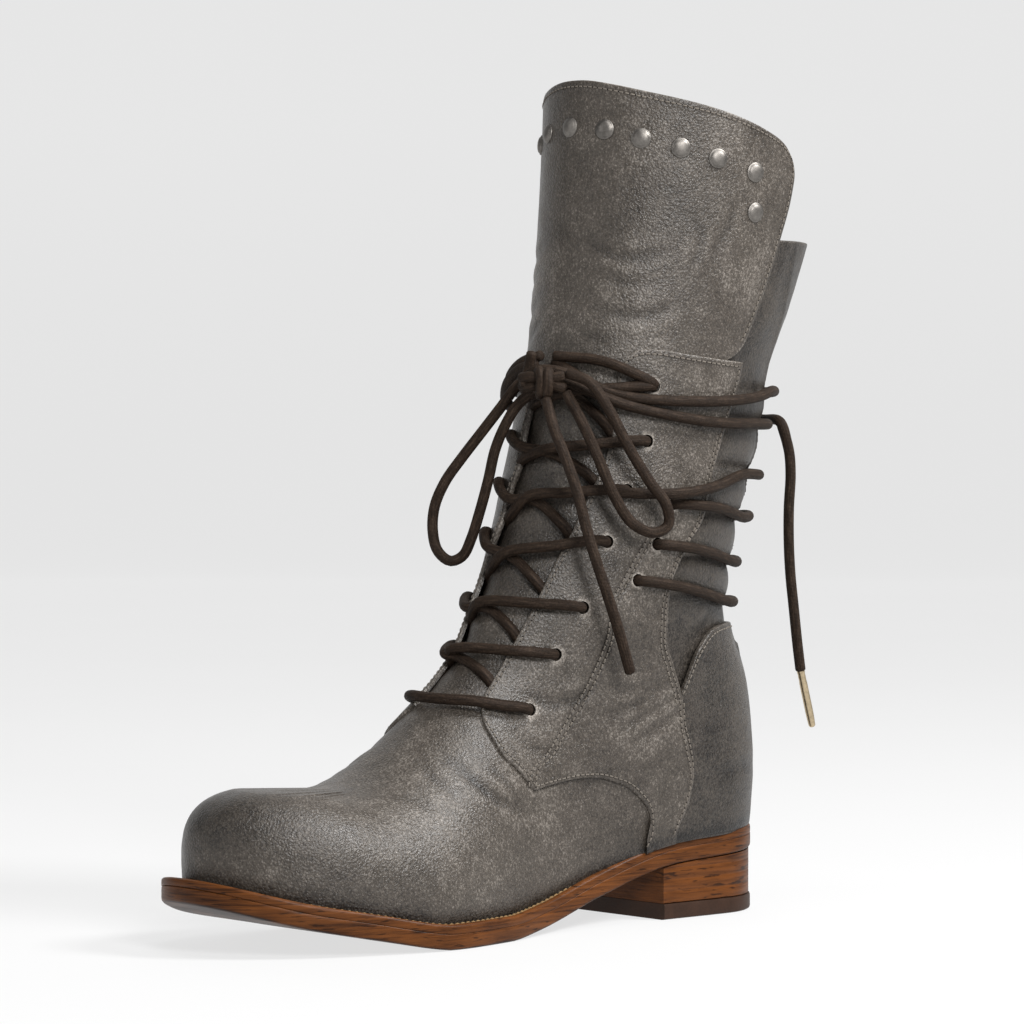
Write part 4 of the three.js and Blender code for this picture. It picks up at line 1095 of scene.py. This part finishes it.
gusset = Panel(rows_patch(.40, .998, gusset_edges), 0.0, 1.4)
swell = np.zeros(gusset.shape)
for low, high in zip(PINCHES[:-1], PINCHES[1:]):
    share = np.clip((gusset.ring - low) / (high - low), 0, 1)
    swell += 2.2 * np.sin(np.pi * share) ** 0.8 * min(1.0, (high - low) / 0.05)
lower = np.clip((gusset.ring - .53) / .07, 0, 1) * np.clip((.605 - gusset.ring) / .03, 0, 1)
swell += 1.2 * lower
inset = np.clip((gusset.far["left"] - 3) / 9, 0, 1) * np.clip((gusset.far["right"] - 3) / 9, 0, 1)
upper_part = np.clip((gusset.ring - .87) / .05, 0, 1)
gusset.height = gusset.height + mix(-2.3, -0.9, upper_part) + swell * inset ** 0.7 + upper_part * 0.7 * inset
dress(gusset, 61, low=False)
# Painted shade darkens the gusset between the laces, and more where it tucks under the quarters.
gusset.tone = gusset.tone - 0.42 - 0.10 * (1 - inset)
add_panel("gusset", gusset, gusset_leather, ("rear_gusset",))


# Linings: inside the boot, and behind the flap
def add_lining():
    rings = np.concatenate([np.linspace(0.0, 0.97, 60), [0.985]])
    turns = np.linspace(0, 360, 120, endpoint=False)
    degrees, ring = np.meshgrid(turns, rings)
    base = surface(degrees, ring)
    normal = outward(base)
    depth = np.interp(ring, (0, .8, .93, 1), (-3.4, -4.6, -3.6, -2.6))
    outer = base + normal * depth[..., None]
    inner = base + normal * (depth - 1.0)[..., None]
    size = outer.shape[0] * outer.shape[1]
    faces = grid_faces(*degrees.shape, wrap=True)
    count = len(turns)
    top = np.arange(count) + size - count
    bottom = np.arange(count)
    rim = np.stack([top, np.roll(top, -1), np.roll(top, -1) + size, top + size], 1)
    floor_rim = np.stack([np.roll(bottom, -1), bottom, bottom + size, np.roll(bottom, -1) + size], 1)
    quads = np.vstack([faces, faces[:, ::-1] + size, rim, floor_rim])
    make_piece("lining", np.vstack([outer.reshape(-1, 3), inner.reshape(-1, 3)]), quads,
               lining_leather)


add_lining()
lining_side = [(d - 3.5, r) for d, r in FLAP_SIDE if r > 0.88]
lining_top = [(d - 3.5 * (d > 0), r - .008) for d, r in FLAP_TOP]
flap_lining = Panel(coons([(-94, .885), (0, .885), (94, .885)], mirrored(lining_top)[:-1] + lining_top[::-1],
                          mirrored(lining_side), lining_side, 2.5), -1.95, 0.7)
add_panel("flap_lining", flap_lining, lining_leather)


# Sole: rings round the plan outline, from the lower edge to the upper one
def plan_ring(inset, low, to=None, count=90, height=None):
    """One closed ring; height(x) or the level low."""
    start = BACK + inset
    tip = BACK + SOLE_LENGTH - inset - WELT_TOE_EXTRA * np.clip(inset / WELT_WIDTH, 0, 1)
    end = tip if to is None else to
    share = np.linspace(0, 1, count)
    if to is None:
        share = 0.5 - 0.5 * np.cos(np.pi * share)
    else:
        share = 1 - np.cos(np.pi / 2 * share)
    x = mix(start + 0.05, end - (0.05 if to is None else 0), share)
    half = np.maximum(0.4, sole_half(x, inset))
    middle = centre_line(x)
    xs = np.concatenate([x, x[::-1]])
    ys = np.concatenate([middle - half, (middle + half)[::-1]])
    zs = np.full(len(xs), float(low)) if height is None else height(xs)
    return np.stack([xs, ys, zs], -1)


def plan_solid(rings):
    """Closed mesh from plan rings: low to high, capped by strips across."""
    count = len(rings[0])
    points = np.vstack(rings)
    faces = grid_faces(len(rings), count, wrap=True)
    half = count // 2
    i = np.arange(half - 1)
    cap = np.stack([i, count - 1 - i, count - 2 - i, i + 1], 1)
    top = (len(rings) - 1) * count
    return points, np.vstack([faces, cap, cap[:, ::-1] + top])


def wavy_rings(table, height_of, to=None):
    return [plan_ring(inset, 0, to, height=lambda x, level=level: height_of(x) + level)
            for inset, level in table]


def worn(points, size, depth, seed):
    """Slight unevenness of a hand-finished edge."""
    bump = unevenness(points, size, seed)[:, None] * depth
    out = np.stack([np.zeros(len(points)), np.sign(points[:, 1] - centre_line(points[:, 0])),
                    np.zeros(len(points))], -1)
    return points + out * bump


def add_sole(name, rings, material, node, seed, tone=None):
    points, faces = plan_solid(rings)
    points = worn(points, 9, 0.05, seed)
    shade = np.zeros(len(points)) if tone is None else tone(points)
    return make_piece(name, points, faces, material, (node,), {"tone": shade}, sharp=40)


outsole_rows = [(3.0, 0.0), (1.2, 0.05), (0.5, 0.35), (0.12, 0.9), (0.0, 1.8), (0.0, 3.2), (0.0, 4.6),
                (0.02, 5.8), (0.12, 6.0), (0.3, 6.15)]
# Painted shade darkens the outsole's tread face and lowest rim.
add_sole("outsole_leather", wavy_rings(outsole_rows, sole_bottom), sole_leather,
         "outsole", 71, lambda p: -0.35 * (p[:, 2] - sole_bottom(p[:, 0]) < 0.6))
welt_rows = [(0.3, -0.1), (0.1, 0.0), (0.02, 0.2), (0.0, 0.8), (0.0, 2.0), (0.12, 2.7), (0.45, 3.2),
             (1.0, 3.46), (1.8, 3.5), (2.9, 3.5), (3.4, 3.35), (3.7, 2.9), (4.6, 2.85), (5.2, 3.0),
             (6.6, 3.0), (9.0, 3.0)]
WELT_GROOVE = 4.2
WELT_PITCH = 3.0
WELT_THREAD = 0.5


def welt_painted_highlight_and_shade(points):
    """Painted highlight: paler on the crown; painted shade: dark in the groove."""
    level = points[:, 2] - sole_bottom(points[:, 0]) - WELT_BOTTOM
    return 0.25 * (level > 3.4) - 0.9 * ((level < 3.1) & (level > 2.82))


add_sole("welt_strip", wavy_rings(welt_rows, lambda x: sole_bottom(x) + WELT_BOTTOM),
         sole_leather, "welt", 72, welt_painted_highlight_and_shade)
heel_rows = [(2.0, TOP_LIFT + 0.15), (0.9, TOP_LIFT + 0.2)]
layers = 4
layer_height = (HEEL_HEIGHT - 0.2 - TOP_LIFT - 0.3) / layers
for i in range(layers):
    low = TOP_LIFT + 0.3 + i * layer_height
    heel_rows += [(0.70, low), (0.61, low + 0.2), (0.6, low + layer_height * 0.5),
                  (0.61, low + layer_height - 0.2), (0.70, low + layer_height)]


def heel_height(level):
    """Height of a heel ring, kept just under the sole's lower face."""
    top = HEEL_HEIGHT - 0.2
    return lambda x: np.minimum(level, np.maximum(sole_bottom(x) - 0.2, TOP_LIFT + 0.4)
                                - (top - level) * 0.02)


add_sole("heel_layers", [plan_ring(inset, 0, HEEL_FRONT, height=heel_height(level))
                         for inset, level in heel_rows], heel_leather, "heel_stack", 73)
lift_rows = [(1.6, 0.0), (0.7, 0.12), (0.2, 0.5), (0.05, 1.2), (0.05, TOP_LIFT - 0.8),
             (0.25, TOP_LIFT - 0.2), (1.2, TOP_LIFT)]
add_sole("lift_pad", [plan_ring(inset, level, HEEL_FRONT) for inset, level in lift_rows],
         lift_rubber, "top_lift", 74)
insole_rows = [(SEAM_INSET + 1.2, -3.0), (SEAM_INSET + 0.9, -2.8), (SEAM_INSET + 0.9, 0.9),
               (SEAM_INSET + 1.5, 1.2)]
add_sole("insole_board", wavy_rings(insole_rows, feather), insole_leather, "insole", 75)


# Stitches: short thread bars with a dark disc of painted shade for the needle hole at each end
def stitch_row(points, normals, pitch, thread, share=0.66, lift=0.12):
    """Thread bars, and dark discs of painted shade for the needle holes, along a line of surface points."""
    lengths = lengths_of(points)
    count = int(lengths[-1] / pitch)
    if count < 1:
        return [], []
    spots = (np.arange(count) + 0.5) * lengths[-1] / count
    half = pitch * share / 2

    def at(where):
        where = np.clip(where, 0, lengths[-1])
        place = np.stack([np.interp(where, lengths, points[:, k]) for k in range(3)], -1)
        way = unit(np.stack([np.interp(where, lengths, normals[:, k]) for k in range(3)], -1))
        return place, way

    bars, hole_shade_dots = [], []
    for spot in spots:
        (a, b), (na, nb) = at(np.array([spot - half, spot + half]))
        middle, normal = at(spot)
        path = np.array([a - na * thread * 0.4, middle + normal * lift, b - nb * thread * 0.4])
        bars.append(tube(smooth_path(path, pitch / 5), thread, 6, 0.4))
        hole, normal = at(spot + pitch / 2)
        side = unit(np.cross(normal, b - a))
        ahead = np.cross(side, normal)
        angles = np.linspace(0, 2 * np.pi, 7, endpoint=False)
        ring = hole + normal * 0.03 + thread * 1.15 * (np.cos(angles)[:, None] * ahead * 0.9
                                                     + np.sin(angles)[:, None] * side)
        dome = np.vstack([ring, [hole + normal * 0.10], [hole - normal * 0.5]])
        fan = [[i, (i + 1) % 7, 7] for i in range(7)] + [[(i + 1) % 7, i, 8] for i in range(7)]
        hole_shade_dots.append((dome, fan, np.zeros((9, 2))))
    return bars, hole_shade_dots


SEAM_PITCH = 2.4
SEAM_THREAD = 0.34
SEAM_FROM_EDGE = 1.9
BAND_HALF = 1.1
thread_bars, needle_hole_shade_dots = [], []


def sew(line):
    bars, hole_shade_dots = stitch_row(*line, SEAM_PITCH, SEAM_THREAD)
    thread_bars.extend(bars)
    needle_hole_shade_dots.extend(hole_shade_dots)


for panel in (outer_quarter, inner_quarter):
    facing, rear = ("left", "right") if panel is outer_quarter else ("right", "left")
    sew(panel.line(facing, SEAM_FROM_EDGE, 2, 3))
    sew(panel.line("top", 2.0, 3, 3))
    sew(panel.line(rear, SEAM_FROM_EDGE, 4, 3))
    sew(panel.line(rear, 3.9, 60, 30))
    sew(panel.line("bottom", SEAM_FROM_EDGE, 4, 16))
for side in (1, -1):
    for shift in (-BAND_HALF, BAND_HALF):
        rows = np.array([(side * (d + shift), r) for d, r in BAND_LINE])
        base = smooth_path(surface(*rows.T), 1.0)
        way = outward(base)
        sew((base + way * (OVERLAY - 0.05), way))
sew(counter.line("top", 2.0, 3, 3))
sew(counter.line("left", 4.6, 4, 6))
sew(counter.line("right", 4.6, 4, 6))
sew(flap.line("top", 2.6, 2, 2))
sew(flap.line("left", 2.6, 45, 3))
sew(flap.line("right", 2.6, 45, 3))
add_joined("seam_stitches", thread_bars, seam_thread)
# Dark discs of painted shade stand for the needle holes.
add_joined("needle_hole_shade_discs", needle_hole_shade_dots, needle_hole_painted_shade)

# Welt stitches in the groove
ring_line = plan_ring(WELT_GROOVE, 0, height=lambda x: sole_bottom(x) + WELT_BOTTOM + 2.95, count=260)
ring_line = even_steps(ring_line, 1.0)
bars, _ = stitch_row(ring_line, np.tile((0.0, 0.0, 1.0), (len(ring_line), 1)), WELT_PITCH, WELT_THREAD, 0.8,
                     0.35)
add_joined("welt_stitches", bars, welt_thread)


# Laces through the holes; each row is (degrees, ring, height)
def lace_path(rows):
    rows = np.array(rows, float)
    return smooth_path(off_point(*rows.T), PATH_STEP)


ON, UNDER, HOLE = OVERLAY + LACE / 2 + 0.05, -1.6, -2.6
A_STARTS = [None, (26.7, .411), (27, .481), (29.8, .567), (37, .656), (42, .735), (46, .79)]
B_STARTS = [None, (-14, .44), (-12, .51), (-8.8, .596), (-3.7, .680), (-5.6, .755), (-6, .818)]
CROSSINGS = [None, (-5.6, .449), (2, .526), (7.2, .6175), (11.6, .706), (16, .768), (21, .832)]


def front_strands():
    strands = []
    ring, outer, inner = FRONT_HOLES[0]
    strands.append([(inner, ring, HOLE), (inner + 1.2, ring, 1.6), (inner + 6, ring, ON),
                    (-15, ring + .002, ON),
                    (-3, ring + .003, 2.9), (12, ring + .003, 2.7), (26, ring + .002, ON - .2),
                    (38, ring, ON), (outer - 5, ring, ON), (outer - 1, ring, 1.6), (outer, ring, HOLE)])
    for i in range(1, 7):
        ring, outer, inner = FRONT_HOLES[i]
        before = FRONT_HOLES[i - 1]
        a, b, cross = A_STARTS[i], B_STARTS[i], CROSSINGS[i]
        edge = max(30, cross[0] + 16)
        strands.append([(before[2] + 2, mix(before[0], b[1], 0.2), -3.2), (b[0] - 5, b[1] - .004, -1.5),
                        (b[0] + 2, b[1] + .002, 0.4), (*cross, 3.7),
                        (edge, mix(cross[1], ring, (edge - cross[0]) / (outer - cross[0])), ON + .2),
                        (outer - 6, ring - .001, ON), (outer - 1, ring, 1.8), (outer, ring, HOLE)])
        top_degrees = -10 if i < 4 else -2
        share = (a[0] - top_degrees) / (a[0] - inner)
        strands.append([(before[1] - 3, mix(before[0], a[1], 0.25), -3.2), (a[0] + 4, a[1] - .006, -1.9),
                        (a[0] - 5, mix(a[1], cross[1], 0.3), -0.5), (cross[0], cross[1] - .002, -0.5),
                        (top_degrees, mix(a[1], ring, share), 2.9), (mix(top_degrees, inner, .45),
                         mix(a[1], ring, mix(share, 1, .45)), ON), (inner + 4, ring, ON),
                        (inner + .8, ring, 1.8), (inner, ring, HOLE)])
    return strands


def rear_strands():
    """Out of each outer hole, over the gusset and into the inner hole across from it."""
    strands = []
    for ring, degrees in REAR_HOLES:
        edge = float(gusset_edges(np.array(ring))[0]) + 7
        half = [(degrees, 0, HOLE), (degrees + 1, 0, 1.8), (degrees + 5, .001, ON), (edge - 2, .002, ON - .1),
                (edge + 9, .002, 2.2), (140, -.002, 1.8), (165, .004, 2.4)]
        strands.append([(d, ring + r, h) for d, r, h in half]
                       + [(360 - d, ring + .006 - r, h) for d, r, h in half[::-1]])
    strands.append([(53, .721, ON + .1), (66, .7235, ON + 1.2), (78, .728, ON + 3.2), (92, .738, ON + 2.2),
                    (101, .745, ON), (116, .759, 3.2), (150, .765, 4.0), (185, .768, 4.4), (230, .770, 3.6),
                    (262, .770, -0.5), (268, .772, -2.8)])
    return strands


def wrap_strands():
    """The turns round the ankle, from the knot to the outer side and behind."""
    upper = [(12, .862, 5.5), (24, .850, 4.6), (36, .837, ON + .8), (52, .829, ON + .2), (66, .828, ON + .2),
             (90, .831, ON + .3), (112, .838, ON), (128, .845, 2.9), (160, .846, 3.2), (200, .846, 3.2),
             (232, .845, 2.9), (258, .838, ON), (282, .835, ON + .2), (306, .835, ON + .2),
             (326, .842, ON + 1.4), (341, .852, ON + 3.2), (352, .862, 7.2), (4, .868, 7.2)]
    lower = [(14, .846, 7.8), (26, .838, 7.2), (40, .826, ON + 3.0), (50, .820, ON + 1.2),
             (60, .816, ON + .2),
             (83, .810, ON + .4), (100, .810, ON), (116, .812, 2.6), (138, .814, 3.0), (165, .815, 3.2),
             (200, .815, 3.2), (232, .813, 2.8), (258, .812, ON), (282, .812, ON + .2), (306, .815, ON + .2),
             (326, .826, ON + 2.4), (341, .842, ON + 4.2), (352, .853, 8.2), (3, .858, 8.4)]
    across = [(13, .868, 7.0), (21, .868, 5.0), (31, .867, 4.0), (41, .862, ON + .6), (50, .854, ON + .3),
              (56, .848, ON), (59.5, .844, 1.8), (60, .842, HOLE)]
    unwrapped = []
    for rows in (upper, lower, across):
        rows = np.array(rows, float)
        rows[:, 0] = np.degrees(np.unwrap(np.radians(rows[:, 0])))
        unwrapped.append(rows)
    return unwrapped


def end_strand():
    """From under the inner quarter's edge round the back to where the tipped end hangs."""
    rows = np.array([(264, .826, -2.8), (256, .826, -1.6), (244, .825, 2.0), (226, .824, 6.2),
                     (205, .824, 7.2), (188, .824, 7.6), (174, .823, 8.6)])
    return smooth_path(np.vstack([off_point(*rows.T), REAR_END[:2]]), PATH_STEP)


def add_laces(name, strands, node, more=()):
    paths = [lace_path(rows) for rows in strands] + list(more)
    add_joined(name, [tube(path, LACE / 2, LACE_SIDES) for path in paths], lace_fibre, (node,))


add_laces("front_lace", front_strands(), "front_lacing")
add_laces("rear_lace", rear_strands(), "rear_lacing")
add_laces("ankle_turns", wrap_strands(), "rear_lacing", [end_strand()])


# Knot: a pulled band round the crossing strands
def add_knot():
    turn = math.radians(20)
    spin = np.array([[math.cos(turn), -math.sin(turn), 0], [math.sin(turn), math.cos(turn), 0], [0, 0, 1]])
    shapes = [
        [(2.6, -1.0, 4.6), (4.2, 0.5, 3.6), (4.9, 1.4, 0.5), (4.4, 0.8, -3.0), (2.0, -0.6, -5.0),
         (-1.4, -1.6, -3.6)],
        [(2.8, 3.4, 4.4), (4.6, 4.2, 2.0), (4.8, 4.4, -1.2), (3.0, 3.0, -4.4), (-0.8, 1.0, -4.6)],
        [(3.0, -8.5, 1.8), (4.0, -4.5, 2.2), (2.6, 0.0, 2.2), (2.8, 4.5, 1.8), (1.0, 8.8, 2.4)],
        [(0.5, -9.5, -1.6), (2.4, -5.0, -1.6), (1.4, 0.0, -0.8), (2.2, 5.0, -1.0), (0.6, 9.2, -2.4)],
        [(-2.6, -8.0, 3.4), (-1.4, -3.0, 4.8), (-1.8, 3.0, 4.8), (-3.2, 8.2, 3.6)],
        [(3.2, -6.6, -0.6), (0.6, -8.8, 0.4), (-2.8, -9.4, 2.4), (-3.4, -8.6, 7.0), (-2.8, -7.2, 11.5)],
    ]
    paths = [smooth_path(np.array(shape) @ spin.T + KNOT, 1.2) for shape in shapes]
    add_joined("bow_knot_cord", [tube(path, LACE / 2, LACE_SIDES) for path in paths], lace_fibre,
               ("bow_knot",))


add_knot()


# Dome studs with a fine rim, each seated on the flap
STUDS = [(1.175, 0), (1.168, 24), (1.150, 41), (1.132, 56), (1.114, 69), (1.092, 83), (1.032, 86)]


def add_studs():
    profile = [(STUD / 2, -0.3), (4.12, 0.25), (3.95, 0.55), (3.6, 0.62), (3.48, 0.70), (3.3, 0.95),
               (2.7, 1.35), (1.8, 1.62), (0.9, 1.75), (0.3, 1.78)]
    places = []
    for ring, degrees in STUDS:
        places += [(degrees, ring)] if degrees == 0 else [(degrees, ring), (-degrees, ring)]
    for number, (degrees, ring) in enumerate(places, 1):
        base = surface(degrees, ring)
        way = outward(base)
        side = unit(np.cross(way, (0, 0, 1)))
        up = np.cross(side, way)
        angles = np.linspace(0, 2 * np.pi, 28, endpoint=False)
        draw = np.random.default_rng(number)
        tilt = draw.normal(size=2) * 0.02
        points = []
        for radius, height in profile:
            offset = radius * (np.cos(angles)[:, None] * side + np.sin(angles)[:, None] * up)
            lean = radius * (np.cos(angles) * tilt[0] + np.sin(angles) * tilt[1])
            points.append(base + way * (height + 0.1 + lean)[:, None] + offset)
        points = np.vstack(points)
        faces = grid_faces(len(profile), 28, wrap=True).tolist()
        last = (len(profile) - 1) * 28
        faces += [list(range(last, last + 28)), list(range(28))[::-1]]
        make_piece(f"dome_stud_{number}", points, faces, pewter, (f"stud_{number}",), sharp=60)


add_studs()


# Floor, backdrop and lights
def add_stage():
    mesh = bpy.data.meshes.new("floor")
    reach, depth = 3.0, 4.0
    rows = []
    for i in range(25):
        turn = math.radians(90 * i / 24)
        rows.append((-depth + 0.6 - 0.6 * math.sin(turn), 0.6 - 0.6 * math.cos(turn)))
    line = [(6.0, 0.0)] + rows + [(-depth, 5.0)]
    angle = math.radians(VIEW_ANGLE)
    cos, sin = math.cos(angle), math.sin(angle)
    points = [(x * cos - y * sin, x * sin + y * cos, z) for x, z in line for y in (-reach * 2, reach * 2)]
    mesh.from_pydata(points, [], [(2 * i, 2 * i + 1, 2 * i + 3, 2 * i + 2) for i in range(len(line) - 1)])
    mesh.polygons.foreach_set("use_smooth", [True] * len(mesh.polygons))
    stage = Nodes("studio_white")
    cloud = stage.noise(3, 2)
    shade = stage.ramp(cloud, [(0.3, (0.150, 0.150, 0.150)), (0.7, (0.156, 0.156, 0.156))])
    stage.set(Base_Color=shade, Roughness=0.9, Specular_IOR_Level=0.2, Emission_Color=(1, 1, 1, 1),
              Emission_Strength=0.70)
    mesh.materials.append(stage.material)
    floor = bpy.data.objects.new("floor", mesh)
    bpy.context.collection.objects.link(floor)


def add_light(name, side, ahead, up, size, power, aim=(60, 0, 150)):
    """An area light placed from the camera's side: right, towards the camera, up, in metres."""
    angle = math.radians(VIEW_ANGLE)
    view = np.array([math.cos(angle), math.sin(angle), 0])
    right = np.array([-math.sin(angle), math.cos(angle), 0])
    place = np.array(aim) * MM + right * side + view * ahead + np.array([0, 0, up])
    data = bpy.data.lights.new(name, "AREA")
    data.shape = "RECTANGLE"
    data.size, data.size_y = size
    data.energy = power
    lamp = bpy.data.objects.new(name, data)
    bpy.context.collection.objects.link(lamp)
    point_at(lamp, place, np.array(aim) * MM)


def add_world(strength):
    world = bpy.data.worlds.new("studio")
    world.use_nodes = True
    background = world.node_tree.nodes["Background"]
    background.inputs["Color"].default_value = (1, 1, 1, 1)
    background.inputs["Strength"].default_value = strength
    bpy.context.scene.world = world


add_stage()
add_world(0.12)
add_light("key", 0.70, 1.55, 1.00, (0.6, 0.6), 34)
add_light("sheen", 1.15, 0.10, 1.25, (0.45, 0.45), 32, (150, 20, 70))
add_light("left", -1.5, 0.9, 0.7, (0.5, 1.1), 5)
add_light("top", 0.2, 0.3, 1.9, (0.8, 0.8), 12)
view_settings = bpy.context.scene.view_settings
view_settings.view_transform = "Standard"
view_settings.look = "None"
